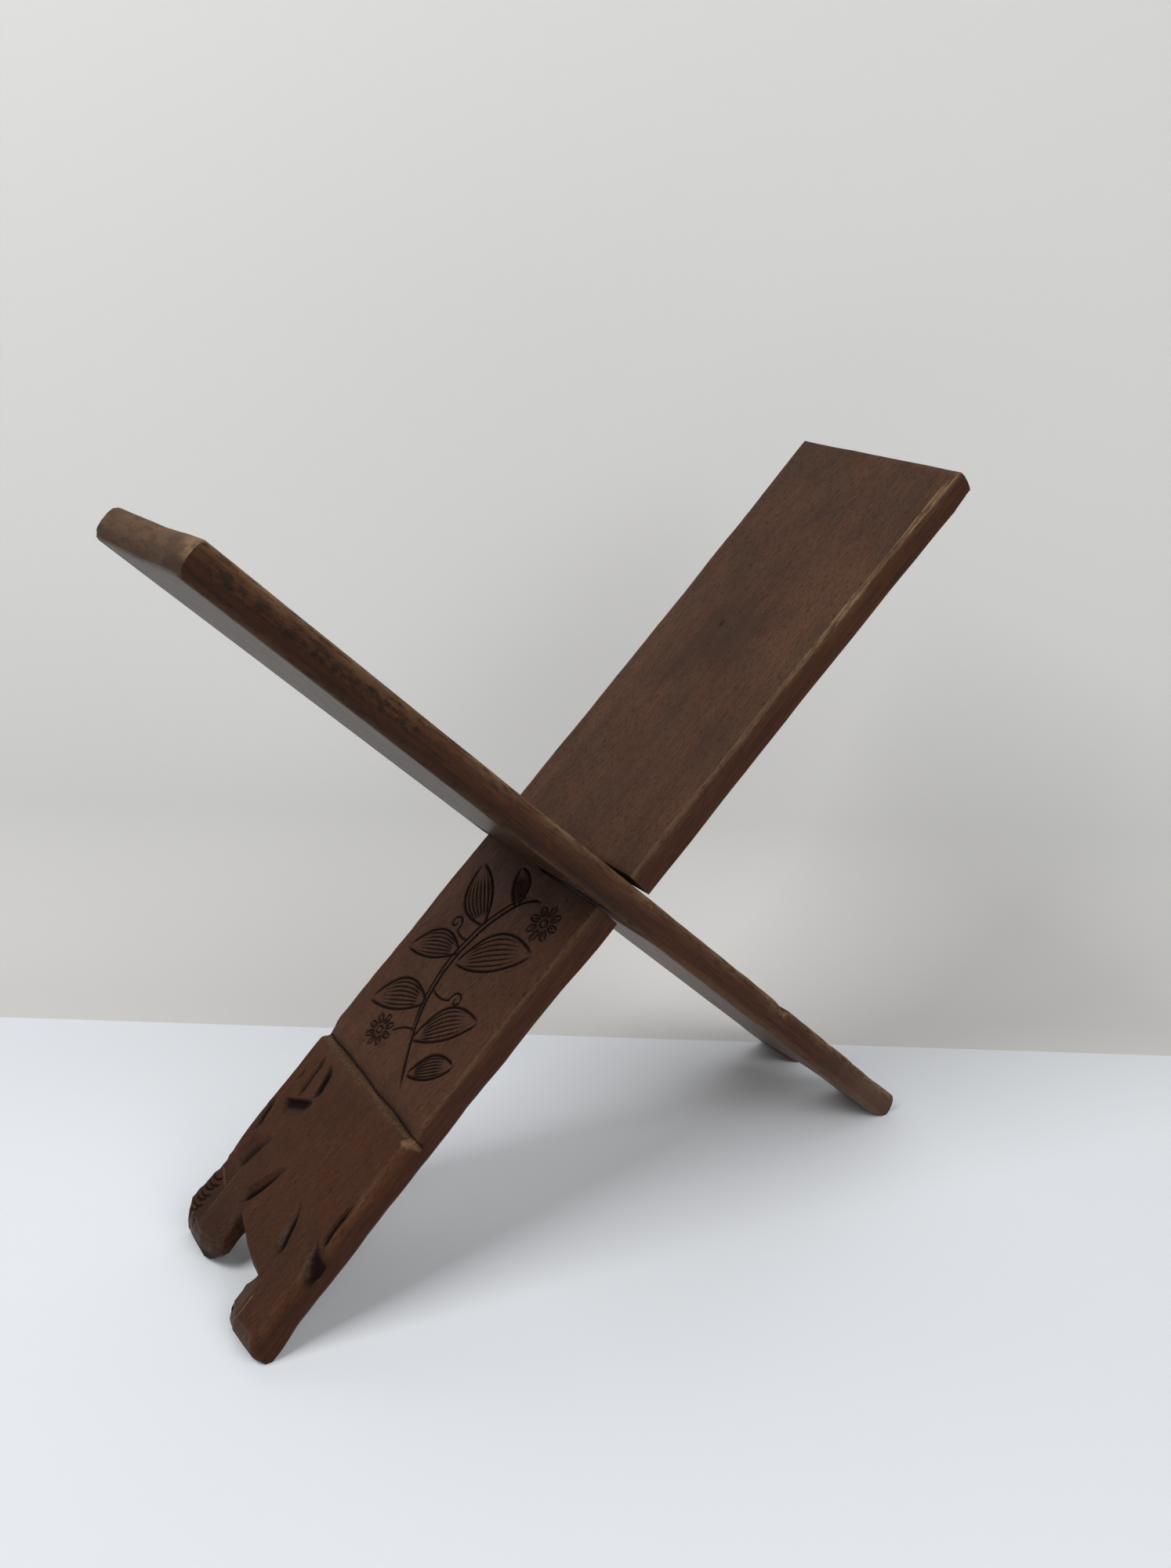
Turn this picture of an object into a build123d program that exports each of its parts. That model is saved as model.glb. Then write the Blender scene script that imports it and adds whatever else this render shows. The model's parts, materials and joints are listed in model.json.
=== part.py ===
"""Two carved hardwood boards that cross in an X and lock with a halving joint.

The frame of the part has +Z up and X along the spread of the legs. The viewer stands at -Y.
Each board is drawn in its own frame, with its origin at the middle of the crossing: X runs up the
board, Z points out of the carved outer face, and the slot opens towards -Y.
"""
from build123d import *
from dataclasses import dataclass
import math
import os

# Driving dimensions, in millimetres and degrees
board_thickness = 18.5
board_width = 132.0
near_board_lean = 43.8
far_board_lean = 41.5
crossing_height = 210.5
near_board_upper_length = 311.2
far_board_upper_length = 297.2

# How far each edge flares to the top end, how far the near board's plain edge stands inside half
# the width, and how the slotted edge draws in below the slot
top_flare_width = 3.0
near_board_plain_setback_width = 2.4
heel_setback_width = 5.0
foot_taper_width = 3.1

# What the top end runs past square at its plain corner, and how the arrises are eased
near_board_corner_length = 9.6
far_board_corner_length = 3.0
edge_ease_width = 3.0
end_ease_width = 1.0

# Halving joint
slot_slack_width = 2.8
seat_clearance = 0.3

# Feet: wear on the ground side, the notch between them and the slopes worn on their upper rims
near_board_wear_depth = 1.2
far_board_wear_depth = 4.2
notch_depth = 36.0
notch_width = 45.0
slot_side_toe_width = 32.0
toe_bevel_height = 8.0
near_board_plain_toe_length = 6.5
near_board_slot_toe_length = 3.5
far_board_plain_toe_length = 3.2
far_board_slot_toe_length = 3.0

# Carving on the outer face, below the crossing
groove_distance = 165.0
groove_slant_angle = 3.2
groove_depth = 3.8
groove_scoop_length = 15.0
groove_shoulder_length = 5.0
picture_margin_length = 15.0
picture_length = 128.0
picture_width = 104.0
stroke_width = 2.4
stroke_depth = 1.1
vein_width = 1.7
vein_depth = 0.8
gouge_width = 6.0
gouge_depth = 3.2
bark_notch_distance = 236.0
bark_notch_width = 4.6
bark_notch_depth = 2.4
bark_notch_length = 13.0
bark_notch_pitch = 6.0
bark_notch_count = 9

# How far the cutting solids run past the wood, and how far those of the fine carving do
overrun = 6.0
fine_overrun = 0.5

# Where a gouge starts, ends and is deepest, as shares of the lower reach and of the board's width
gouge_shares = [
    (-0.585, 0.392, -0.675, 0.380, 0.60),
    (-0.575, 0.265, -0.660, 0.222, 0.75),
    (-0.655, 0.225, -0.712, 0.350, 0.40),
    (-0.700, 0.447, -0.768, 0.425, 0.50),
    (-0.748, 0.295, -0.840, 0.400, 0.65),
    (-0.770, 0.100, -0.885, 0.180, 0.80),
    (-0.780, -0.145, -0.910, -0.190, 0.85),
    (-0.710, -0.395, -0.820, -0.430, 0.70),
    (-0.790, -0.420, -0.870, -0.470, 0.50),
]

# Leaves of the incised spray: root and tip, as shares of the picture's length and width
leaf_shares = [
    (-0.36, -0.06, -0.14, -0.40),
    (-0.20, 0.06, -0.34, 0.44),
    (0.02, -0.02, 0.24, -0.40),
    (0.08, 0.10, -0.02, 0.47),
    (0.24, 0.06, 0.44, 0.40),
]
leaf_plumpness_share = 0.30
leaf_belly_share = 0.40
leaf_vein_shares = [0.30, 0.45, 0.60, 0.75]
leaf_vein_reach_share = 1.10
leaf_vein_slant_share = 0.10

# Stem of the spray, as shares of the picture's length and width
stem_shares = [(-0.48, -0.20), (-0.30, -0.01), (-0.06, 0.06), (0.16, 0.07), (0.36, -0.06), (0.46, -0.26)]

# Rosettes: centre as shares of the picture's length and width, radius as a share of its width
rosette_shares = [(-0.42, 0.22, 0.10), (0.36, -0.34, 0.11)]
rosette_rays = 8
rosette_hub_share = 0.35

# How the foot notch narrows, as shares of its depth and width
notch_shares = [
    (0.0, 0.50),
    (0.36, 0.44),
    (0.72, 0.49),
    (1.0, 0.43),
    (0.79, -0.06),
    (0.70, -0.53),
    (0.27, -0.52),
    (0.07, -0.60),
    (0.0, -0.74),
]

# Profile of the groove, from the end of the scoop, as shares of its shoulder and depth
groove_profile_shares = [(0.0, 1.0), (-0.25, 1.0), (-0.60, 0.40), (-1.0, 0.0)]

crossing_misfit = abs(90.0 - near_board_lean - far_board_lean)
slot_width = (
    board_thickness / math.cos(math.radians(crossing_misfit))
    + board_thickness * math.tan(math.radians(crossing_misfit))
    + slot_slack_width
)
half_thickness = board_thickness / 2
long_edge_count = 6


@dataclass(frozen=True)
class BoardPlan:
    """What sets one board apart from the other."""

    lean: float
    upper_length: float
    plain_setback: float
    corner_length: float
    wear_depth: float
    plain_toe_length: float
    slot_toe_length: float

    def lower_reach(self) -> float:
        """Length below the crossing that brings the worn corner of the feet down to the ground."""
        corner_height = half_thickness * math.cos(math.radians(self.lean))
        return (crossing_height + self.wear_depth - corner_height) / math.sin(math.radians(self.lean))

    def flare(self, place: float) -> float:
        """How far an edge stands out at a place along the board, from its line at the crossing."""
        return top_flare_width * place / self.upper_length

    def plain_edge(self, place: float) -> float:
        """Where the straight, unslotted edge runs, at a place along the board."""
        return board_width / 2 - self.plain_setback + self.flare(place)

    def slotted_edge(self, place: float) -> float:
        """Where the slotted edge runs: it flares above the slot, and draws in below it."""
        if place > 0:
            return -board_width / 2 - self.flare(place)
        draw = heel_setback_width - foot_taper_width * place / self.lower_reach()
        return draw - board_width / 2


def chip(start: tuple, end: tuple, width: float, depth: float, deepest_share: float = 0.5) -> Part:
    """A tapered V cut in the outer face: an upside-down pyramid on a kite from start to end."""
    begin = Vector(*start, half_thickness)
    finish = Vector(*end, half_thickness)
    along = finish - begin
    across = Vector(-along.Y, along.X, 0).normalized() * (width / 2)
    middle = begin + along * deepest_share
    bottom = middle - Vector(0, 0, depth)
    rise = (depth + fine_overrun) / depth
    rim = [bottom + (corner - bottom) * rise for corner in (begin, middle - across, finish, middle + across)]
    sides = [make_face(Polyline(bottom, *pair, close=True)) for pair in zip(rim, rim[1:] + rim[:1])]
    return Part() + Solid(Shell(sides + [make_face(Polyline(*rim, close=True))]))


def board_outline(plan: BoardPlan) -> Face:
    """Outline of a board seen from its carved side, with the slot and without the foot notch."""
    top = plan.upper_length
    foot = -plan.lower_reach()
    slot_side = slot_width / 2
    slot_end = seat_clearance / 2
    return make_face(
        Polyline(
            (top + plan.corner_length, plan.plain_edge(top)),
            (foot, plan.plain_edge(foot)),
            (foot, plan.slotted_edge(foot)),
            (-slot_side, plan.slotted_edge(-slot_side)),
            (-slot_side, slot_end),
            (slot_side, slot_end),
            (slot_side, plan.slotted_edge(slot_side)),
            (top, plan.slotted_edge(top)),
            close=True,
        )
    )


def board_blank(plan: BoardPlan) -> Part:
    """The planed board with its long edges and its top end eased."""
    blank = extrude(board_outline(plan), amount=half_thickness, both=True)
    long_edges = blank.edges().sort_by(SortBy.LENGTH)[-long_edge_count:]
    blank = chamfer(long_edges, edge_ease_width)
    top_end = blank.faces().sort_by(Axis.X)[-1]
    return chamfer(top_end.edges(), end_ease_width)


def foot_notch(plan: BoardPlan) -> Part:
    """The ragged opening that splits the lower end into two feet."""
    foot = -plan.lower_reach()
    middle = plan.slotted_edge(foot) + slot_side_toe_width + notch_width / 2
    inner = [(foot + share * notch_depth, middle + across * notch_width) for share, across in notch_shares]
    outer = [(foot - overrun, inner[-1][1]), (foot - overrun, inner[0][1])]
    return extrude(make_face(Polyline(*inner, *outer, close=True)), amount=board_thickness, both=True)


def toe_bevel(reach: float, bevel: float, side: float) -> Part:
    """Worn slope on the upper rim of one foot."""
    profile = Polyline(
        (-reach, half_thickness - toe_bevel_height),
        (-reach + bevel, half_thickness),
        (-reach + bevel, half_thickness + overrun),
        (-reach - overrun, half_thickness + overrun),
        (-reach - overrun, half_thickness - toe_bevel_height),
        close=True,
    )
    return extrude(Plane.XZ * make_face(profile), amount=-side * board_width)


def groove() -> Part:
    """Groove across the board where the picture ground scoops down to the trunk panel."""
    steps = [
        (along * groove_shoulder_length, half_thickness - down * groove_depth)
        for along, down in groove_profile_shares
    ]
    above = half_thickness + overrun
    profile = Polyline(
        (groove_scoop_length, half_thickness),
        *steps,
        (-groove_shoulder_length, above),
        (groove_scoop_length, above),
        close=True,
    )
    cutter = extrude(Plane.XZ * make_face(profile), amount=board_width, both=True)
    return Pos(-groove_distance, 0, 0) * Rot(0, 0, -groove_slant_angle) * cutter


def gouges(reach: float) -> list:
    """Chisel gouges that give the lower panel its bark."""
    cuts = []
    for start, start_side, end, end_side, deepest in gouge_shares:
        begin = (start * reach, start_side * board_width)
        finish = (end * reach, end_side * board_width)
        cuts.append(chip(begin, finish, gouge_width, gouge_depth, deepest))
    return cuts


def bark_notches(plan: BoardPlan) -> list:
    """Row of short notches along the plain edge above the foot."""
    cuts = []
    for index in range(bark_notch_count):
        place = -bark_notch_distance - index * bark_notch_pitch
        edge = plan.plain_edge(place)
        begin = (place, edge - bark_notch_length)
        finish = (place - bark_notch_pitch / 2, edge + bark_notch_length)
        cuts.append(chip(begin, finish, bark_notch_width, bark_notch_depth))
    return cuts


def picture_point(along: float, across: float) -> tuple:
    """Place on the picture panel, from shares of its length and width."""
    centre = -(slot_width + picture_margin_length + picture_length) / 2
    middle = heel_setback_width / 2
    return (centre + along * picture_length, middle + across * picture_width)


def leaf(root: tuple, tip: tuple) -> list:
    """Incised leaf: two bowed outlines and slanting veins."""
    along = Vector(*tip) - Vector(*root)
    side = Vector(-along.Y, along.X, 0) * leaf_plumpness_share
    cuts = []
    for bow in (side / 2, -side / 2):
        belly = Vector(*root) + along * leaf_belly_share + bow
        cuts.append(chip(root, (belly.X, belly.Y), stroke_width, stroke_depth))
        cuts.append(chip((belly.X, belly.Y), tip, stroke_width, stroke_depth))
        for share in leaf_vein_shares:
            inner = Vector(*root) + along * share
            outer = inner + bow * (leaf_vein_reach_share - share) + along * leaf_vein_slant_share
            cuts.append(chip((inner.X, inner.Y), (outer.X, outer.Y), vein_width, vein_depth))
    return cuts


def rosette(centre: tuple, radius: float) -> list:
    """Incised rosette of short rays around a bare hub."""
    cuts = []
    for index in range(rosette_rays):
        angle = 2 * math.pi * index / rosette_rays
        ray = Vector(math.cos(angle), math.sin(angle), 0) * radius
        inner = Vector(*centre) + ray * rosette_hub_share
        outer = Vector(*centre) + ray
        cuts.append(chip((inner.X, inner.Y), (outer.X, outer.Y), stroke_width, stroke_depth))
    return cuts


def spray() -> list:
    """The incised spray of leaves on the panel between the crossing and the groove."""
    stem = [picture_point(*shares) for shares in stem_shares]
    cuts = [chip(begin, finish, stroke_width, stroke_depth) for begin, finish in zip(stem, stem[1:])]
    for root_along, root_across, tip_along, tip_across in leaf_shares:
        cuts += leaf(picture_point(root_along, root_across), picture_point(tip_along, tip_across))
    for along, across, radius in rosette_shares:
        cuts += rosette(picture_point(along, across), radius * picture_width)
    return cuts


def carved_board(plan: BoardPlan) -> Part:
    """One whole board, lying flat in its own frame."""
    reach = plan.lower_reach()
    board = board_blank(plan) - foot_notch(plan) - groove()
    board -= toe_bevel(reach, plan.slot_toe_length, -1)
    board -= toe_bevel(reach, plan.plain_toe_length, 1)
    return board - (gouges(reach) + bark_notches(plan) + spray())


def standing_board(plan: BoardPlan, turn: float) -> Part:
    """A carved board that leans at the crossing, with its feet worn flat on the ground."""
    placed = Pos(0, 0, crossing_height) * Rot(0, 0, turn) * Rot(0, -plan.lean, 0) * carved_board(plan)
    ground_size = 4 * plan.upper_length
    return placed - Pos(0, 0, -ground_size / 2) * Box(ground_size, ground_size, ground_size)


near_plan = BoardPlan(
    near_board_lean,
    near_board_upper_length,
    near_board_plain_setback_width,
    near_board_corner_length,
    near_board_wear_depth,
    near_board_plain_toe_length,
    near_board_slot_toe_length,
)
far_plan = BoardPlan(
    far_board_lean,
    far_board_upper_length,
    0.0,
    far_board_corner_length,
    far_board_wear_depth,
    far_board_plain_toe_length,
    far_board_slot_toe_length,
)
near_slotted_board = standing_board(near_plan, 0)
far_slotted_board = standing_board(far_plan, 180)

# The origin is on the ground, under the middle of the part's box
box = Compound([near_slotted_board, far_slotted_board]).bounding_box()
to_origin = Pos(-box.center().X, -box.center().Y, 0)
parts = {"near_slotted_board": to_origin * near_slotted_board, "far_slotted_board": to_origin * far_slotted_board}

os.makedirs("parts", exist_ok=True)
for name, part in parts.items():
    export_step(part, f"parts/{name}.step")
    print(name, "volume", round(part.volume), "box", part.bounding_box())
print("shift", to_origin.position, "slot", slot_width)
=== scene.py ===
"""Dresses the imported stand: two boards of dark stained hardwood that cross in an X.

Each board is one closed surface, worked out in its own frame: `up` runs up the board from the
crossing, `across` runs over its width towards the plain edge, and `out` points out of the carved
face. Lengths in that frame are millimetres. The last step turns them into the part's frame, in metres.
"""
import json
import logging
import math
from dataclasses import dataclass
from enum import Enum
from functools import partial

import bpy
import numpy as np
from mathutils import Matrix, Vector


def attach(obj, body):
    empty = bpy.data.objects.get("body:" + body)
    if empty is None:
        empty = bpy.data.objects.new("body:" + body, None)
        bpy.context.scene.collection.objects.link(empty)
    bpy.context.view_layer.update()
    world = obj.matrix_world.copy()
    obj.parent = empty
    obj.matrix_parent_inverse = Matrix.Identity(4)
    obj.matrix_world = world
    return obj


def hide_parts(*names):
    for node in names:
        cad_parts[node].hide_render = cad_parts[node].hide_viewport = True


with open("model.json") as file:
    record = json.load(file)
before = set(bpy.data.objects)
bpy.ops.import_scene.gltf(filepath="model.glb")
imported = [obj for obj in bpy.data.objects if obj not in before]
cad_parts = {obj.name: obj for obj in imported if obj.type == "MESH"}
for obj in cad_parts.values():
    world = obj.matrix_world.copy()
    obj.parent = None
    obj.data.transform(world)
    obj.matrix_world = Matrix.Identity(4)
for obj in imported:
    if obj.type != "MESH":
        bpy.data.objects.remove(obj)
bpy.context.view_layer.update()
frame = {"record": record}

log = logging.getLogger("stand")

MM = 0.001
PHOTO_HEIGHT = 2000
BOARD_THICKNESS = 18.5

# Steps of the grid of a board. Dense stretches take every column, coarse ones every eighth.
ARC_STEPS = 5
SLOTTED_STEPS = 104
NOTCH_SLOTTED_STEPS = 56
PLAIN_STEPS = 112
NOTCH_PLAIN_STEPS = 32
COARSE_STEP = 8
END_STEPS = 3
UPPER_STEPS = 96
ARRIS_STEPS = 2
BRIDGE_STEPS = 6
PICTURE_STEPS = 244
TRUNK_STEPS = 116
TOE_STEPS = 24
TOE_ARC_STEPS = 4

# Columns and rows of the grid where the slot, the lower panel, and the notch between the feet begin
# and end, and how many columns there are
NOTCH_SLOTTED = ARC_STEPS + NOTCH_SLOTTED_STEPS
SLOT_COLUMN = ARC_STEPS + SLOTTED_STEPS
NOTCH_PLAIN = SLOT_COLUMN + NOTCH_PLAIN_STEPS
COLUMNS = 2 * ARC_STEPS + SLOTTED_STEPS + PLAIN_STEPS + 1
SLOT_TOP_ROW = END_STEPS + UPPER_STEPS + ARRIS_STEPS
SLOT_LOW_ROW = SLOT_TOP_ROW + BRIDGE_STEPS
PANEL_ROW = SLOT_LOW_ROW + ARRIS_STEPS + PICTURE_STEPS
RIM_ROW = PANEL_ROW + TRUNK_STEPS
TOE_ROW = RIM_ROW + TOE_STEPS + TOE_ARC_STEPS

# Stretches of rows from the top end down, and how many rows the plain back goes on at a time in each
BACK_STRIDES = (
    (END_STEPS, 1),
    (UPPER_STEPS, 4),
    (ARRIS_STEPS, 1),
    (BRIDGE_STEPS, 3),
    (ARRIS_STEPS, 1),
    (PICTURE_STEPS, 12),
    (TRUNK_STEPS, 5),
    (TOE_STEPS, 4),
    (TOE_ARC_STEPS + 1, 1),
)

# Rings of the walls: share of the way to the back, of the cut's depth and of the bulge
WALL_RINGS = ((0.06, 0.85, 0.5), (0.25, 0.3, 0.95), (0.55, 0.0, 1.0), (0.85, 0.0, 0.6))
# Powers by which the face's raggedness and its wear and painted highlight fade down a wall
RAGGED_FADE = 8
WEAR_AND_HIGHLIGHT_FADE = 5
# Neighbours on each side that the darkness of a wall, the cuts' stain and painted shade carried down
# from the face, is averaged over
DARK_SPAN = 3

# How dark a cut is, stain with painted shade in its hollow, by the share of the way in from its rim:
# a knife line is black over all but its flanks, a gouge's facet is a little dark at its rim and darker
# in its valley
LINE_FLANK = 0.42
RIM_SHADE, RIM_REACH = 0.28, (0.0, 0.2)
VALLEY_SHADE, VALLEY_REACH = 0.55, (0.4, 0.75)
# Least share of its width and depth that a cut keeps at its tips
TIP_SHARE = 0.02


def ease(low: float, high: float, value: np.ndarray) -> np.ndarray:
    """Rises from 0 at low to 1 at high, along 3x squared less 2x cubed.

    Args:
        low: Where the rise starts.
        high: Where it ends.
        value: Places to work out.

    Returns:
        The risen share at each place.
    """
    share = np.clip((value - low) / (high - low), 0.0, 1.0)
    return share * share * (3.0 - 2.0 * share)


def ripple(place: np.ndarray, wavelength: float, seed: int, octaves: int = 4) -> np.ndarray:
    """Smooth unevenness of about -1 to 1 along one direction.

    Formula: a sum of sines, each of half the wavelength and about half the strength of the last.

    Args:
        place: Places along the direction.
        wavelength: Longest wavelength, in the same unit.
        seed: Sets the phases.
        octaves: How many sines are added.

    Returns:
        The unevenness at each place.
    """
    draw = np.random.default_rng(seed)
    total = np.zeros_like(place, dtype=float)
    weight = 1.0
    for octave in range(octaves):
        turns = place * draw.uniform(0.8, 1.25) * 2**octave / wavelength + draw.uniform(0.0, 1.0)
        total += weight * np.sin(2.0 * math.pi * turns)
        weight *= 0.55
    return total / 1.6


def swell(up: np.ndarray, across: np.ndarray, wavelength: float, seed: int, waves: int = 9) -> np.ndarray:
    """Smooth unevenness of about -1 to 1 over a face.

    Formula: the mean of plane waves in seeded directions, of wavelengths near the one given.

    Args:
        up: Places up the board.
        across: Places across it.
        wavelength: Typical wavelength, in the same unit.
        seed: Sets the directions and phases.
        waves: How many waves are added.

    Returns:
        The unevenness at each place.
    """
    draw = np.random.default_rng(seed)
    total = np.zeros_like(up, dtype=float)
    for _ in range(waves):
        angle = draw.uniform(0.0, 2.0 * math.pi)
        length = wavelength * draw.uniform(0.6, 1.6)
        turns = (up * math.cos(angle) + across * math.sin(angle)) / length + draw.uniform(0.0, 1.0)
        total += np.sin(2.0 * math.pi * turns)
    return total / math.sqrt(waves)


def bow(start: tuple, end: tuple, sag: float, count: int = 24) -> np.ndarray:
    """Points along a shallow parabola.

    Formula: the straight line, moved sideways by 4t(1-t) times sag times its length.

    Args:
        start: First point.
        end: Last point.
        sag: Sideways rise at the middle, as a share of the length.
        count: How many points.

    Returns:
        An array of points, one per row.
    """
    share = np.linspace(0.0, 1.0, count)[:, None]
    first = np.asarray(start, dtype=float)
    run = np.asarray(end, dtype=float) - first
    side = np.array([-run[1], run[0]])
    return first + share * run + 4.0 * share * (1.0 - share) * sag * side


def curl(centre: tuple, radius: float, turns: float, start_angle: float, count: int = 40) -> np.ndarray:
    """Points along a spiral that winds in to a tenth of its radius.

    Args:
        centre: Middle of the spiral.
        radius: Its radius where it starts.
        turns: How many turns, negative to wind the other way.
        start_angle: Angle of its first point, in radians.
        count: How many points.

    Returns:
        An array of points, one per row.
    """
    share = np.linspace(0.0, 1.0, count)
    angle = start_angle + 2.0 * math.pi * turns * share
    reach = radius * (1.0 - 0.9 * share)
    return np.stack([centre[0] + reach * np.cos(angle), centre[1] + reach * np.sin(angle)], axis=1)


class Cut(Enum):
    """Kind of a cut: a knife line, dark all over, or a gouge's facet, dark in its valley only."""

    LINE = "line"
    FACET = "facet"


class Face(Enum):
    """Which face of a board; the number offsets its seeds."""

    CARVED = 0
    PLAIN = 10


@dataclass(frozen=True)
class Stroke:
    """One cut of a knife or a gouge, with a width and a depth that taper towards its ends.

    A bias from -1 to 1 makes one side of the cut broad and the other steep.
    """

    path: np.ndarray
    width: float
    depth: float
    kind: Cut = Cut.LINE
    start_taper: float = 0.25
    end_taper: float = 0.25
    bias: float = 0.0
    shade: float = 1.0

    def cut_at(self, up: np.ndarray, across: np.ndarray) -> tuple:
        """Depth of the cut, and how dark its bottom is with stain and painted shade, at each place.

        Formula: with d the distance to the path over the half width there, the cut is 1 - d times the
        depth, which falls off in the tapers.

        Args:
            up: Places up the board.
            across: Places across it.

        Returns:
            The depth and the darkness at each place, zero outside the cut.
        """
        low = self.path.min(axis=0) - self.width
        high = self.path.max(axis=0) + self.width
        near = (up > low[0]) & (up < high[0]) & (across > low[1]) & (across < high[1])
        depth, dark = np.zeros(up.shape), np.zeros(up.shape)
        spots = np.stack([up[near], across[near]], axis=1)[:, None]
        if not len(spots):
            return depth, dark
        begin = self.path[None, :-1]
        run = np.diff(self.path, axis=0)[None]
        offset = spots - begin
        along = np.clip((offset * run).sum(2) / (run**2).sum(2), 0.0, 1.0)
        gap = np.linalg.norm(offset - along[..., None] * run, axis=2)
        nearest = gap.argmin(axis=1)[:, None]
        distance = np.take_along_axis(gap, nearest, axis=1)[:, 0]
        side = np.sign(run[..., 0] * offset[..., 1] - run[..., 1] * offset[..., 0])
        side = np.take_along_axis(side, nearest, axis=1)[:, 0]
        share = (nearest[:, 0] + np.take_along_axis(along, nearest, axis=1)[:, 0]) / run.shape[1]
        rise = np.clip(share / self.start_taper, TIP_SHARE, 1.0)
        rise = rise * np.clip((1.0 - share) / self.end_taper, TIP_SHARE, 1.0)
        fullness = np.sqrt(rise)
        reach = fullness * self.width / 2.0 * (1.0 + self.bias * side)
        inward = 1.0 - np.clip(distance / reach, 0.0, 1.0)
        depth[near] = self.depth * fullness * inward
        if self.kind is Cut.LINE:
            darkness = np.clip(inward / LINE_FLANK, 0.0, 1.0)
        else:
            darkness = RIM_SHADE * ease(*RIM_REACH, inward) + VALLEY_SHADE * ease(*VALLEY_REACH, inward)
        dark[near] = self.shade * darkness * fullness
        return depth, dark


def line(
    path: np.ndarray, width: float, depth: float, start: float = 0.25, end: float = 0.25, shade: float = 1.0
) -> Stroke:
    """Makes a knife line.

    Args:
        path: Points along it.
        width: Its greatest width.
        depth: Its greatest depth.
        start: Share of its length over which it grows.
        end: Share of its length over which it dies away.
        shade: How dark it is.

    Returns:
        The stroke.
    """
    return Stroke(path, width, depth, Cut.LINE, start, end, 0.0, shade)


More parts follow.
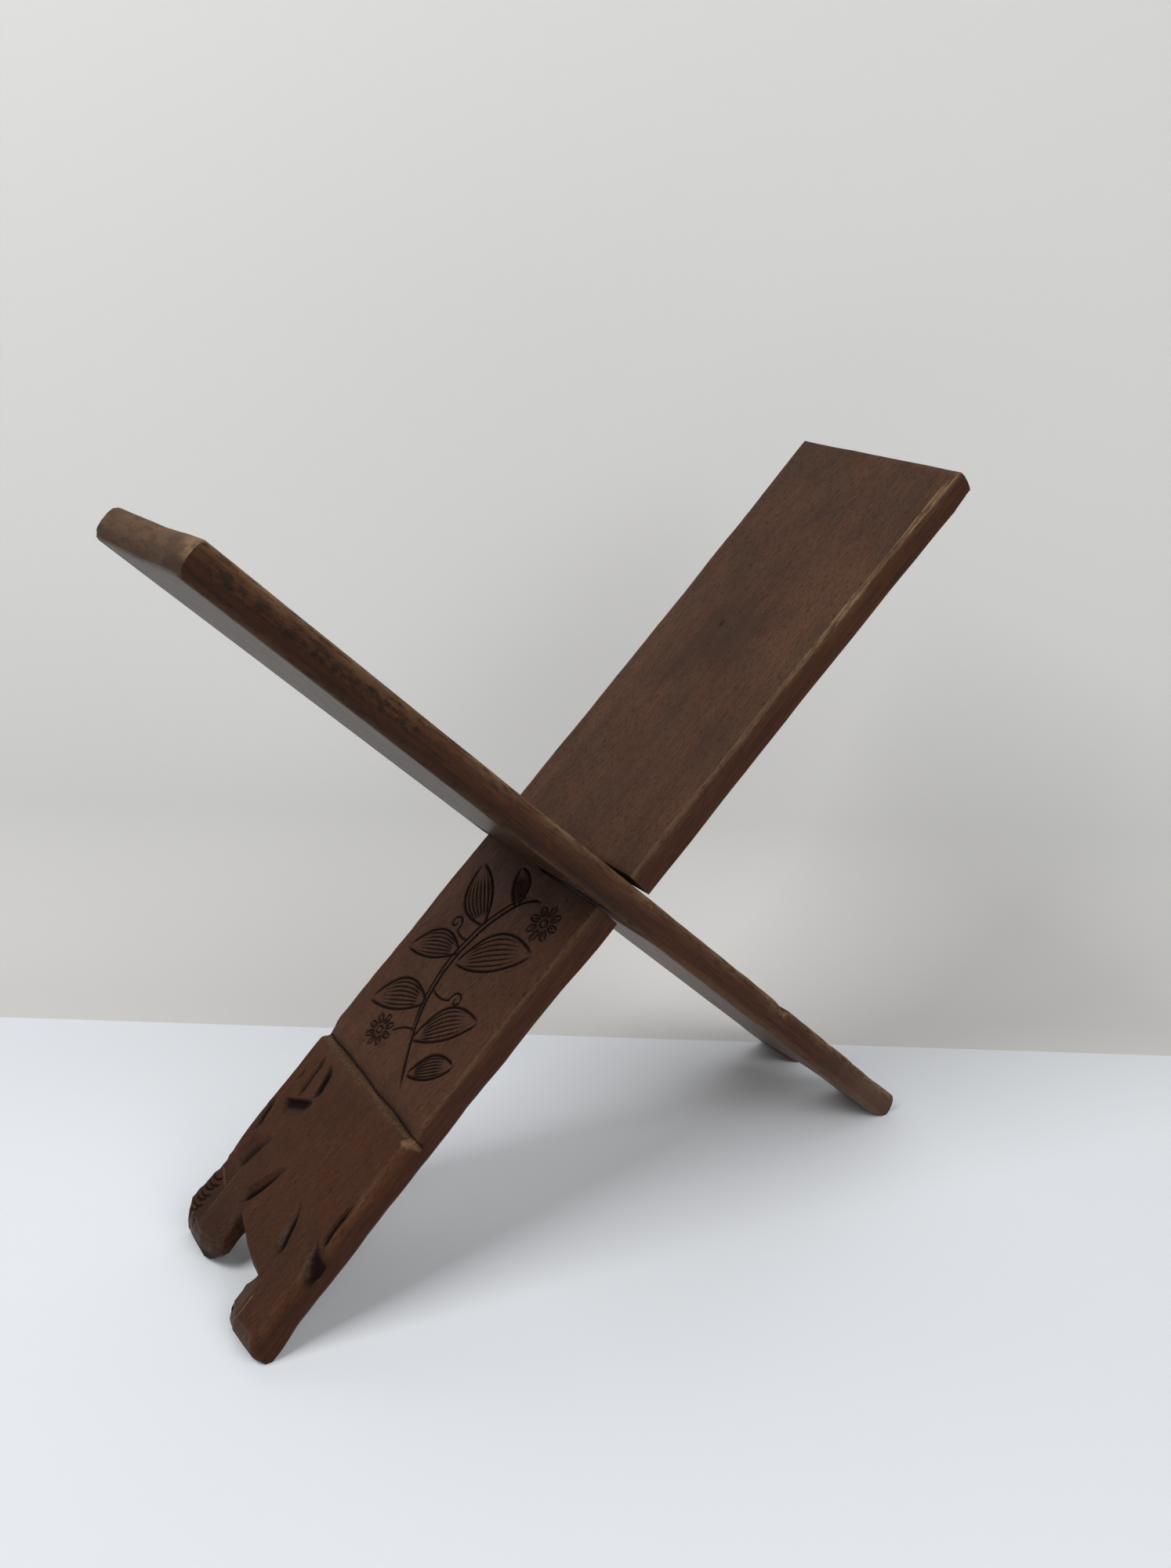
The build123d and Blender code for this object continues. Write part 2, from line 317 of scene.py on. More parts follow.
@dataclass(frozen=True)
class Spray:
    """The incised spray: a bent stem with long-veined leaves, rayed flowers and curled tendrils.

    Places are shares of the spray's length and width, from its middle, with the stem's foot at the
    lower end. A leaf is given as the place of its root, that of its tip and its bend, a flower as its
    place and radius, and a tendril as its start, its middle, its radius and its turns.
    """

    length: float = 128.0
    width: float = 104.0
    centre_up: float = -82.9
    centre_across: float = 2.5
    outline_width: float = 2.4
    outline_depth: float = 1.3
    vein_width: float = 1.5
    vein_depth: float = 0.9
    leaf_sag: float = 0.21
    leaf_veins: int = 6
    petal_root: float = 0.30
    petal_sag: float = 0.22
    petal_width: float = 1.7
    petal_depth: float = 0.95
    ray_width: float = 1.3
    ray_depth: float = 0.7
    ring_share: float = 0.2
    ring_width: float = 1.8
    ring_depth: float = 1.0
    tendril_width: float = 1.9
    tendril_depth: float = 1.05
    tendril_turn: float = 1.2
    tendril_lead: float = 0.9
    tendril_sag: float = 0.12
    stem_width: float = 2.6
    stem_depth: float = 1.4
    beside_width: float = 2.2
    beside_depth: float = 1.2
    beside_offset: tuple = (1.2, 3.2)
    stem: tuple = ((-0.56, -0.27), (-0.30, -0.01), (-0.06, 0.06), (0.16, 0.07), (0.36, -0.06), (0.44, -0.22))
    leaves: tuple = (
        (-0.37, -0.07, -0.13, -0.42, 0.10),
        (-0.21, 0.03, -0.36, 0.45, -0.10),
        (0.00, 0.05, 0.23, -0.42, 0.08),
        (0.05, 0.08, -0.07, 0.48, -0.10),
        (0.21, 0.06, 0.45, 0.42, 0.08),
        (-0.49, -0.22, -0.33, -0.48, 0.06),
        (0.36, -0.06, 0.53, 0.12, -0.06),
    )
    flowers: tuple = ((-0.43, 0.20, 11.0), (0.37, -0.33, 12.5))
    stalk: tuple = ((-0.33, -0.04), (-0.40, 0.11))
    stalk_depth: float = 1.0
    tendrils: tuple = (((0.12, 0.08), (0.15, 0.27), 5.5, 1.2), ((-0.14, 0.06), (-0.12, -0.16), 5.5, -1.2))

    def place(self, along: float, across: float) -> tuple:
        """Turns shares of the spray's length and width into a place on the board."""
        return (self.centre_up + along * self.length, self.centre_across + across * self.width)

    def stem_path(self, count: int = 60) -> np.ndarray:
        """The stem as one smooth line, which fits its points each way by a polynomial.

        Args:
            count: How many points.

        Returns:
            An array of points, one per row.
        """
        spots = np.array([self.place(*spot) for spot in self.stem])
        steps = np.arange(len(spots), dtype=float)
        fine = np.linspace(0.0, steps[-1], count)
        fits = [np.polynomial.Polynomial.fit(steps, spots[:, axis], 4) for axis in (0, 1)]
        return np.stack([fit(fine) for fit in fits], axis=1)

    def leaf(self, root: tuple, tip: tuple, bend: float) -> list:
        """A leaf: two bowed outlines and a bundle of long veins that follow them.

        Args:
            root: Where the leaf joins the stem, in shares.
            tip: Its point, in shares.
            bend: How far the whole leaf is bent sideways, as a share of its length.

        Returns:
            The strokes that cut it.
        """
        first, last = self.place(*root), self.place(*tip)
        strokes = []
        for side in (-1.0, 1.0):
            path = bow(first, last, bend + side * self.leaf_sag)
            strokes.append(line(path, self.outline_width, self.outline_depth, 0.06, 0.1))
        for sag in np.linspace(-1.0, 1.0, self.leaf_veins + 2)[1:-1]:
            path = bow(first, last, bend + sag * self.leaf_sag)[3:-4]
            strokes.append(line(path, self.vein_width, self.vein_depth, 0.12, 0.3))
        return strokes

    def flower(self, centre: tuple, radius: float, petals: int = 8) -> list:
        """A flower of petals, each a pair of bowed outlines with one vein, round a ring.

        Args:
            centre: Its middle, in shares.
            radius: Its radius in millimetres.
            petals: How many petals.

        Returns:
            The strokes that cut it.
        """
        hub = np.asarray(self.place(*centre))
        strokes = []
        for angle in np.arange(petals) * 2.0 * math.pi / petals:
            ray = np.array([math.cos(angle), math.sin(angle)])
            first, last = hub + ray * radius * self.petal_root, hub + ray * radius
            for sag in (-self.petal_sag, self.petal_sag):
                strokes.append(line(bow(first, last, sag, 12), self.petal_width, self.petal_depth, 0.15, 0.15))
            strokes.append(line(bow(first + ray, last - ray * 3.0, 0.0, 6), self.ray_width, self.ray_depth))
        turn = np.linspace(0.0, 2.0 * math.pi, 25)
        ring = hub + radius * self.ring_share * np.stack([np.cos(turn), np.sin(turn)], axis=1)
        strokes.append(line(ring, self.ring_width, self.ring_depth, 0.01, 0.01))
        return strokes

    def tendril(self, start: tuple, centre: tuple, radius: float, turns: float) -> Stroke:
        """A tendril that leaves the stem and winds up round a centre.

        Args:
            start: Where it leaves the stem, in shares.
            centre: Middle of its curl, in shares.
            radius: Radius of the curl in millimetres.
            turns: How many turns, negative to wind the other way.

        Returns:
            The stroke that cuts it.
        """
        first, hub = np.array(self.place(*start)), np.array(self.place(*centre))
        away = first - hub
        angle = math.atan2(away[1], away[0]) - math.copysign(self.tendril_turn, turns)
        wound = curl(tuple(hub), radius, turns, angle + math.copysign(self.tendril_lead, turns))
        lead = bow(tuple(first), tuple(wound[0]), math.copysign(self.tendril_sag, turns), 10)
        return line(np.concatenate([lead[:-1], wound]), self.tendril_width, self.tendril_depth, 0.04, 0.06)

    def strokes(self) -> list:
        """Every stroke of the spray.

        Returns:
            The strokes that cut it.
        """
        stem = self.stem_path()
        beside = stem + np.array(self.beside_offset)
        cuts = [
            line(stem, self.stem_width, self.stem_depth, 0.04, 0.06),
            line(beside[8:-4], self.beside_width, self.beside_depth, 0.1, 0.12),
        ]
        for root_up, root_across, tip_up, tip_across, bend in self.leaves:
            cuts += self.leaf((root_up, root_across), (tip_up, tip_across), bend)
        for up, across, radius in self.flowers:
            cuts += self.flower((up, across), radius)
        start, end = (self.place(*spot) for spot in self.stalk)
        cuts.append(line(bow(start, end, -0.1), self.tendril_width, self.stalk_depth, 0.05, 0.1))
        cuts += [self.tendril(*curled) for curled in self.tendrils]
        return cuts


@dataclass(frozen=True)
class Trunk:
    """The lower panel, cut to look like a split trunk: gouges, pits and a row of bark notches.

    A gouge is given as start and end, up and across the board, its bend, width, depth, bias, tapers
    and how dark it is, a knot as its place and width, and a rub as its start, its end and its width.
    The dark of the gouges is stain with painted shade in their hollows, and a rub is a light line of
    wear with a painted highlight.
    """

    bark_start: float = -258.5
    bark_pitch: float = 3.5
    bark_count: int = 8
    bark_inner: float = 50.0
    bark_stagger: float = 0.8
    bark_slant: float = 2.8
    bark_margin: float = 0.9
    bark_width: float = 3.8
    bark_depth: float = 1.6
    edge_place: float = -260.0
    valley_width: float = 2.3
    valley_depth: float = 0.3
    bark_valley_width: float = 1.8
    knot_depth: float = 0.6
    knot_shade: float = 0.6
    rub_and_highlight_strength: float = 0.6
    gouges: tuple = (
        (-171.5, 37.8, -191.5, 31.0, 0.03, 7.4, 3.0, 0.6, 0.3, 0.25, 1.2),
        (-170.0, 46.4, -197.5, 44.0, 0.03, 5.0, 3.0, -0.3, 0.2, 0.15, 1.3),
        (-183.0, 54.4, -192.0, 55.8, 0.1, 3.0, 1.2, 0.0, 0.4, 0.4, 0.7),
        (-192.6, 28.6, -203.6, 51.4, 0.0, 12.0, 3.4, 0.75, 0.3, 0.12, 1.2),
        (-207.0, 58.4, -228.0, 55.4, -0.1, 7.4, 2.4, 0.1, 0.3, 0.3, 1.0),
        (-222.0, 36.4, -247.0, 43.4, -0.03, 15.0, 3.4, -0.8, 0.5, 0.12, 1.0),
        (-226.0, 9.6, -257.0, 22.4, 0.04, 9.0, 3.8, -0.5, 0.5, 0.15, 1.35),
        (-231.0, -20.0, -257.0, -31.6, 0.02, 9.0, 3.4, -0.5, 0.45, 0.2, 1.35),
        (-210.0, -53.6, -241.0, -55.6, -0.08, 5.6, 2.8, 0.2, 0.3, 0.25, 1.0),
        (-236.5, -49.0, -254.0, -59.5, 0.05, 13.0, 2.2, 0.3, 0.4, 0.3, 1.35),
        (-240.0, -57.5, -257.0, -58.5, 0.0, 11.0, 1.4, 0.4, 0.3, 0.3, 1.2),
        (-246.0, 43.0, -288.0, 42.6, 0.0, 26.0, 1.6, -0.93, 0.1, 0.02, 0.35),
    )
    knots: tuple = ((-213.5, -31.7, 3.6), (-226.0, -4.3, 2.2), (-243.0, 4.0, 1.8), (-205.0, 12.0, 1.5))
    # Light lines along ridges and at the groove's corner: wear with a painted highlight
    rubs_and_highlights: tuple = (
        (-163.5, -54.0, -173.0, -54.4, 7.0),
        (-261.0, 43.6, -254.0, 58.5, 1.0),
        (-246.0, 42.3, -284.0, 42.0, 0.9),
        (-277.0, -35.6, -294.0, -36.0, 1.0),
        (-281.6, 52.0, -279.6, 59.0, 1.4),
    )

    def strokes(self, plain_edge: float) -> list:
        """Every cut of the panel.

        Args:
            plain_edge: Where the plain edge runs beside the panel.

        Returns:
            The strokes that cut it.
        """
        cuts = []
        for up, across, end_up, end_across, bend, width, depth, bias, start, end, shade in self.gouges:
            path = bow((up, across), (end_up, end_across), bend)
            cuts.append(Stroke(path, width, depth, Cut.FACET, start, end, bias, shade))
            cuts.append(line(path, self.valley_width, self.valley_depth, start, end, min(shade, 1.0)))
        for up, across, width in self.knots:
            path = bow((up, across), (up - width, across - 0.3), 0.0, 4)
            cuts.append(line(path, width, self.knot_depth, 0.4, 0.4, self.knot_shade))
        for index in range(self.bark_count):
            up = self.bark_start - index * self.bark_pitch
            inner = self.bark_inner + self.bark_stagger * (-1) ** index
            path = bow((up, inner), (up - self.bark_slant, plain_edge - self.bark_margin), 0.2, 10)
            cuts.append(Stroke(path, self.bark_width, self.bark_depth, Cut.FACET, 0.12, 0.3, 0.5))
            cuts.append(line(path, self.bark_valley_width, self.valley_depth, 0.06, 0.2))
        return cuts

    def rub_and_highlight_strokes(self) -> list:
        """Thin light lines along ridges and at the groove's corner: wear with a painted highlight.

        Returns:
            Strokes without depth, whose darkness stands for the wear and the highlight.
        """
        return [
            line(bow((up, across), (end_up, end_across), 0.01), width, 0.0, 0.2, 0.2, self.rub_and_highlight_strength)
            for up, across, end_up, end_across, width in self.rubs_and_highlights
        ]


@dataclass(frozen=True)
class Surface:
    """A closed surface and what its material needs to know at each point."""

    points: np.ndarray
    faces: list
    # Darkness of the cuts and the groove: stain with painted shade
    dark: np.ndarray
    # Wear, with painted highlights on rounded arrises, ridges and the groove's shoulder
    worn: np.ndarray


@dataclass(frozen=True)
class CarvedBoard:
    """One board of the stand, with its slot, its carving and its two feet.

    A profile or a line is a row of places and the row of values there, joined by straight lines; the
    notch's lines go by the distance down from the crossing. A start, or an end, is the pair of places
    up the board between which a form comes in, or dies away downwards.
    """

    name: str
    node: str
    lean: float
    turn: float
    upper_length: float
    corner_length: float
    lower_length: float
    plain_setback: float
    plain_profile: tuple
    slotted_profile: tuple
    end_profile: tuple
    foot_line: tuple
    back_foot_line: tuple
    handled_from: float
    # Wear with a painted highlight in a soft band over the rounded arrises, and its share below the crossing
    band_wear_and_highlight: float
    lower_band_share: float
    slotted_corner: float
    knot: tuple
    # How much darker the board grows towards its feet
    foot_darkening: float
    foot_dust: float
    # Whether the plain edge is stained, with the back darker above the crossing and a painted highlight below it
    stained: bool
    seed: int
    thickness: float = BOARD_THICKNESS
    width: float = 132.0
    top_flare_width: float = 3.0
    heel_setback_width: float = 5.0
    foot_taper_width: float = 3.1
    slot_width: float = 22.88
    slot_end: float = 0.15
    face_arris: float = 2.9
    back_arris: float = 2.0
    back_heel_arris: float = 4.6
    slot_foot_bulge: float = 5.5
    plain_foot_bulge: float = 2.8
    slot_arris: float = 0.5
    notch_arris: float = 1.0
    toe_arris: float = 2.6
    end_margin: float = 0.4
    end_ease: float = 1.4
    back_end_ease: float = 3.0
    end_bulge: float = 1.2
    plain_corner: float = 2.2
    groove_distance: float = 163.2
    groove_slant: float = 3.2
    groove_depth: float = 3.8
    groove_scoop_length: float = 15.0
    groove_shoulder_length: float = 5.0
    groove_wobble: float = 0.5
    # Painted shade in the groove and down the scoop that leads to it
    groove_shade_place: float = 0.2
    groove_shade_width: float = 0.8
    scoop_shade: float = 0.3
    scoop_share: float = 0.75
    scoop_wobble: float = 0.3
    # Painted highlight along the groove's rounded shoulder
    groove_highlight: float = 0.35
    groove_highlight_place: float = 2.6
    groove_highlight_width: float = 1.3
    tooling_depth: float = 0.10
    tooling_length: float = 22.0
    tooling_start: tuple = (-5.0, -25.0)
    edge_wobble: float = 0.1
    top_wobble: float = 0.3
    arris_wobble: float = 0.2
    notch_wobble: float = 0.35
    bark_wobble: float = 0.5
    bark_start: tuple = (-228.0, -244.0)
    hollow_depth: float = 1.8
    hollow_start: tuple = (-239.0, -243.0)
    hollow_end: tuple = (-256.0, -250.0)
    panel_start: tuple = (-160.0, -170.0)
    panel_arris_gain: float = 3.2
    heel_start: tuple = (-25.0, -80.0)
    heel_end: tuple = (-288.0, -272.0)
    plain_arris_share: float = 0.85
    plain_heel_gain: float = 1.2
    notch_start: tuple = (-225.0, -258.0)
    notch_slotted_line: tuple = ((262.0, 271.0, 280.0, 297.0), (-27.6, -28.0, -21.6, -22.4))
    notch_plain_line: tuple = ((260.0, 270.0, 283.0, 297.0), (16.0, 18.0, 16.6, 18.4))
    rim_line: tuple = ((-28.0, -19.0, -5.0, 2.0, 10.0, 16.0), (-271.8, -271.2, -267.6, -265.2, -262.8, -260.5))
    foot_slope: float = 0.3
    plain_foot_slope: float = 0.15
    plain_slope_edge: float = 36.0
    plain_slope_width: float = 20.0
    slotted_slope_edge: float = -33.5
    slotted_slope_width: float = 12.5
    slope_inner_edge: float = 5.0
    back_slope_start: tuple = (-258.0, -270.0)
    plain_slope_start: tuple = (-260.0, -274.0)
    slotted_slope_start: tuple = (-267.0, -278.0)
    foot_bulge_height: float = 12.0
    end_bulge_height: float = 3.0
    arris_lines: tuple = ((0.0, 0.015, 0.06, 0.2, 0.42, 0.7, 1.1), (0.0, 0.9, 1.0, 0.15, 0.9, 0.4, 0.15))
    arris_band: tuple = ((0.0, 0.02, 0.4, 1.0), (0.0, 1.0, 0.9, 0.5))
    handled_below: float = 60.0
    handled_above: float = 80.0
    patch_length: float = 60.0
    patch_stretch: float = 0.3
    patch_middle: float = 0.55
    patch_swing: float = 0.5
    end_wear_fall: float = 0.4
    upper_end_wear: float = 0.2
    lower_end_wear: float = 0.05
    # Share of wear with painted highlight on the back's rounded arrises
    back_wear_and_highlight_share: float = 0.22
    smooth_angle: float = 50.0
    grain_shift: float = 0.37
    knot_stretch: tuple = (0.55, 1.0, 1.0)

    def flare(self, up: np.ndarray) -> np.ndarray:
        """How far each edge leans out of the board's middle, from none at the crossing."""
        return self.top_flare_width * up / self.upper_length

    def plain_edge(self, up: np.ndarray, face: Face) -> np.ndarray:
        """Where the plain edge runs: nearly straight, hand-planed and worn.

        Args:
            up: Places up the board.
            face: Which face; bark is cut into the carved one only.

        Returns:
            The edge's place across the board.
        """
        edge = self.width / 2.0 - self.plain_setback + self.flare(up)
        edge = edge + np.interp(up, *self.plain_profile) + self.edge_wobble * ripple(up, 150.0, self.seed)
        if face is Face.CARVED:
            edge = edge + self.bark_wobble * ripple(up, 11.0, self.seed + 1, 2) * ease(*self.bark_start, up)
        return edge

    def slotted_edge(self, up: np.ndarray, face: Face) -> np.ndarray:
        """Where the slotted edge runs: it flares above the slot and is set back below it.

        Args:
            up: Places up the board.
            face: Which face; the hollow is cut into the carved one only.

        Returns:
            The edge's place across the board.
        """
        above = -(self.width / 2.0 + self.flare(up))
        below = self.heel_setback_width - self.foot_taper_width * up / self.lower_length - self.width / 2.0
        if face is Face.CARVED:
            below = below + self.hollow_depth * ease(*self.hollow_start, up) * ease(*self.hollow_end, up)
        worn_back = np.interp(up, *self.slotted_profile)
        return np.where(up > 0.0, above, below) + worn_back + self.edge_wobble * ripple(up, 170.0, self.seed + 2)

    def slotted_radius(self, up: np.ndarray, face: Face) -> np.ndarray:
        """How far the arris of the slotted edge is rounded.

        Args:
            up: Places up the board.
            face: Which face of the board.

        Returns:
            The radius at each place.
        """
        base = self.face_arris + self.panel_arris_gain * ease(*self.panel_start, up)
        if face is Face.PLAIN:
            heel = ease(*self.heel_start, up) * ease(*self.heel_end, up)
            base = self.back_arris + (self.back_heel_arris - self.back_arris) * heel
        return base * (1.0 + self.arris_wobble * ripple(up, 90.0, self.seed + 10 + face.value, 5))

    def plain_radius(self, up: np.ndarray, face: Face) -> np.ndarray:
        """How far the arris of the plain edge is rounded.

        Args:
            up: Places up the board.
            face: Which face of the board.

        Returns:
            The radius at each place.
        """
        base = self.face_arris * self.plain_arris_share
        if face is Face.PLAIN:
            base = self.back_arris + self.plain_heel_gain * ease(*self.heel_start, up)
        return base * (1.0 + self.arris_wobble * ripple(up, 90.0, self.seed + 15 + face.value, 5))

    def groove_line(self, across: np.ndarray) -> np.ndarray:
        """Where the bottom of the groove runs, as places up the board."""
        return np.tan(np.radians(self.groove_slant)) * across - self.groove_distance

    def top_line(self, across: np.ndarray) -> np.ndarray:
        """Where the top end runs: a little out of square, with its corners rubbed round.

        Args:
            across: Places across the board.

        Returns:
            The end's place up the board.
        """
        half = self.width / 2.0 + self.top_flare_width
        radius = np.where(across < 0.0, self.slotted_corner, self.plain_corner)
        corner = fall(half - np.abs(across), radius)
        top = self.upper_length + self.end_margin + self.corner_length * (across + half) / (2.0 * half) - corner
        return top + np.interp(across, *self.end_profile) + self.top_wobble * ripple(across, 120.0, self.seed + 3)

    def end_radius(self, face: Face) -> float:
        """How far the arris of the top end is rounded."""
        return self.end_ease if face is Face.CARVED else self.back_end_ease

    def rows(self, across: np.ndarray, foot: tuple, face: Face) -> np.ndarray:
        """Places up the board of every row of the grid.

        Formula: the rows lie evenly between lines that cross the board, which are the top end, both
        sides of the slot, the groove, the rim of the notch and the end of the feet, and they crowd
        towards the end, the slot and the feet as the cosine of even angles does.

        Args:
            across: Nominal place of each column.
            foot: Places across and up of the end of the feet.
            face: Which face of the board.

        Returns:
            An array of places, rows by columns.
        """
        top = self.top_line(across)
        side = np.full(across.shape, self.slot_width / 2.0)
        shoulder = self.groove_line(across) - self.groove_shoulder_length
        rim = np.interp(across, *self.rim_line)
        toe = np.interp(across, *foot)

        def evenly(first: np.ndarray, last: np.ndarray, steps: int) -> np.ndarray:
            """Rows from first, included, to last, left out."""
            return first + (last - first) * (np.arange(steps) / steps)[:, None]

        def crowded(edge: np.ndarray, inward: float, radius: float, steps: int) -> np.ndarray:
            """Rows that crowd towards an edge, from the edge inwards, its far end left out."""
            angle = np.arange(steps) / steps * math.pi / 2.0
            return edge + inward * radius * (1.0 - np.cos(angle))[:, None]

        blocks = [
            crowded(top, -1.0, self.end_radius(face), END_STEPS),
            evenly(top - self.end_radius(face), side + self.slot_arris, UPPER_STEPS),
            crowded(side, 1.0, self.slot_arris, ARRIS_STEPS + 1)[:0:-1],
            evenly(side, -side, BRIDGE_STEPS),
            crowded(-side, -1.0, self.slot_arris, ARRIS_STEPS),
            evenly(-side - self.slot_arris, shoulder, PICTURE_STEPS),
            evenly(shoulder, rim, TRUNK_STEPS),
            evenly(rim, toe + self.toe_arris, TOE_STEPS),
            crowded(toe, 1.0, self.toe_arris, TOE_ARC_STEPS + 1)[:0:-1],
            toe[None],
        ]
        return np.concatenate(blocks)

    def columns(self, up: np.ndarray, face: Face) -> np.ndarray:
        """Places across the board of every node of the grid.

        Formula: the columns lie evenly between lines that run up the board, which are the inner ends
        of both rounded edges, both sides of the notch and the end of the slot, and they crowd towards
        the edges as the cosine of even angles does.

        Args:
            up: Place up the board of each node, rows by columns.
            face: Which face of the board.

        Returns:
            An array of places across, rows by columns.
        """
        slotted = self.slotted_edge(up, face)
        plain = self.plain_edge(up, face)
        slotted_radius = self.slotted_radius(up, face)
        plain_radius = self.plain_radius(up, face)
        inner_slotted = slotted + slotted_radius
        inner_plain = plain - plain_radius
        middle = np.full(up.shape, self.slot_end)
        from_slotted = inner_slotted + (middle - inner_slotted) * NOTCH_SLOTTED_STEPS / SLOTTED_STEPS
        from_plain = middle + (inner_plain - middle) * NOTCH_PLAIN_STEPS / PLAIN_STEPS
        near = ease(*self.notch_start, up)
        slotted_wall, plain_wall = self.notch_walls(up)
        slotted_wall = from_slotted + (slotted_wall - from_slotted) * near
        plain_wall = from_plain + (plain_wall - from_plain) * near
        angle = np.arange(ARC_STEPS) / ARC_STEPS * math.pi / 2.0
        crowd = 1.0 - np.cos(angle)
        index = np.arange(COLUMNS)
        result = np.empty(up.shape)
        stops = [
            (ARC_STEPS, NOTCH_SLOTTED_STEPS, inner_slotted, slotted_wall),
            (NOTCH_SLOTTED, SLOTTED_STEPS - NOTCH_SLOTTED_STEPS, slotted_wall, middle),
            (SLOT_COLUMN, NOTCH_PLAIN_STEPS, middle, plain_wall),
            (NOTCH_PLAIN, PLAIN_STEPS - NOTCH_PLAIN_STEPS, plain_wall, inner_plain),
        ]
        for start, steps, first, last in stops:
            reach = slice(start, start + steps + 1)
            share = (index[reach] - start) / steps
            result[:, reach] = first[:, reach] + (last[:, reach] - first[:, reach]) * share
        result[:, :ARC_STEPS] = slotted[:, :ARC_STEPS] + slotted_radius[:, :ARC_STEPS] * crowd
        result[:, -ARC_STEPS:] = plain[:, -ARC_STEPS:] - plain_radius[:, -ARC_STEPS:] * crowd[::-1]
        return result

    def notch_walls(self, up: np.ndarray) -> tuple:
        """Where both sides of the ragged notch run.

        Args:
            up: Places up the board.

        Returns:
            The slotted side's and the plain side's places across the board.
        """
        wobble = self.notch_wobble * ripple(up, 9.0, self.seed + 7, 3)
        slotted_wall = np.interp(-up, *self.notch_slotted_line)
        plain_wall = np.interp(-up, *self.notch_plain_line)
        return slotted_wall + wobble, plain_wall - wobble

    def falls(self, up: np.ndarray, across: np.ndarray, face: Face, foot: tuple) -> tuple:
        """How far a face falls away towards its rounded outline.

        Formula: at a distance d from the outline the fall is r less the root of r squared less
        (r - d) squared, a quarter circle, and the largest fall counts.

        Args:
            up: Places up the board.
            across: Places across it.
            face: Which face of the board.
            foot: Places across and up of the end of the feet.

        Returns:
            The fall at each place towards the long edges, and that towards the ends and openings.
        """
        side_gap = np.clip(np.abs(up) - self.slot_width / 2.0, 0.0, None)
        slot_gap = np.hypot(side_gap, np.clip(across - self.slot_end, 0.0, None))
        rim = np.interp(across, *self.rim_line)
        slotted_wall, plain_wall = self.notch_walls(up)
        beside = np.maximum(np.clip(slotted_wall - across, 0.0, None), np.clip(across - plain_wall, 0.0, None))
        notch_gap = np.hypot(np.clip(up - rim, 0.0, None), beside)
        toe = np.interp(across, *foot)
        edges = [
            fall(across - self.slotted_edge(up, face), self.slotted_radius(up, face)),
            fall(self.plain_edge(up, face) - across, self.plain_radius(up, face)),
        ]
        ends = [
            fall(self.top_line(across) - up, self.end_radius(face)),
            fall(slot_gap, self.slot_arris),
            fall(notch_gap, self.notch_arris),
            fall(up - toe, self.toe_arris),
        ]
        return np.maximum.reduce(edges), np.maximum.reduce(ends)

    def slope(self, up: np.ndarray, across: np.ndarray, face: Face) -> np.ndarray:
        """How far a face slopes down to the inner sides of the feet, which are thinned there.

        Args:
            up: Places up the board.
            across: Places across it.
            face: Which face of the board.

        Returns:
            The depth of the slope at each place.
        """
        plain_reach = np.clip(self.plain_slope_edge - across, 0.0, self.plain_slope_width)
        plain_reach = plain_reach * (across > self.slope_inner_edge)
        if face is Face.PLAIN:
            return self.foot_slope * plain_reach * ease(*self.back_slope_start, up)
        slotted_reach = np.clip(across - self.slotted_slope_edge, 0.0, self.slotted_slope_width)
        slotted_reach = slotted_reach * (across < -self.slope_inner_edge)
        slotted_slope = self.foot_slope * slotted_reach * ease(*self.slotted_slope_start, up)
        return slotted_slope + self.plain_foot_slope * plain_reach * ease(*self.plain_slope_start, up)

    def groove_at(self, up: np.ndarray, across: np.ndarray) -> tuple:
        """Depth of the groove and of the scoop that leads down to it, and their painted shade.

        Formula: the scoop deepens as the square of the way down it, and the shoulder rises as a
        smooth step.

        Args:
            up: Places up the board.
            across: Places across it.

        Returns:
            The depth and the painted shade at each place.
        """
        bottom = self.groove_line(across) + self.groove_wobble * ripple(across, 60.0, self.seed + 4)
        ragged = self.scoop_share + self.scoop_wobble * ripple(across, 110.0, self.seed + 5, 2)
        scoop = np.clip(1.0 - (up - bottom) / (self.groove_scoop_length * ragged), 0.0, 1.0) ** 2
        shoulder = 1.0 - ease(0.1, 1.0, (bottom - up) / self.groove_shoulder_length)
        dark = np.exp(-(((up - bottom - self.groove_shade_place) / self.groove_shade_width) ** 2))
        dark = dark + self.scoop_shade * np.where(up > bottom, scoop, 0.0)
        return self.groove_depth * np.where(up > bottom, scoop, shoulder), dark

    def grid(self, face: Face, foot: tuple) -> tuple:
        """Places of every node of one side.

        Formula: rows follow from where the columns lie and columns from where the rows lie, so both
        are worked out twice, from the columns of the slot's lower side.

        Args:
            face: Which face of the board.
            foot: Places across and up of the end of the feet.

        Returns:
            Places up the board and across it.
        """
        across = self.columns(np.full((1, COLUMNS), -self.slot_width), Face.CARVED)
        for _ in range(2):
            up = self.rows(across.mean(axis=0), foot, face)
            across = self.columns(up, face)
        return up, across

    def surface(self) -> Surface:
        """Works out the whole closed surface of the board.

        Returns:
            The surface, in the board's frame.
        """
        half = self.thickness / 2.0
        up, across = self.grid(Face.CARVED, self.foot_line)
        cuts, dark = np.zeros(up.shape), np.zeros(up.shape)
        trunk = Trunk()
        bark_edge = float(self.plain_edge(np.array(trunk.edge_place), Face.PLAIN))
        for stroke in Spray().strokes() + trunk.strokes(bark_edge):
            depth, shade = stroke.cut_at(up, across)
            cuts, dark = np.maximum(cuts, depth), np.maximum(dark, shade)
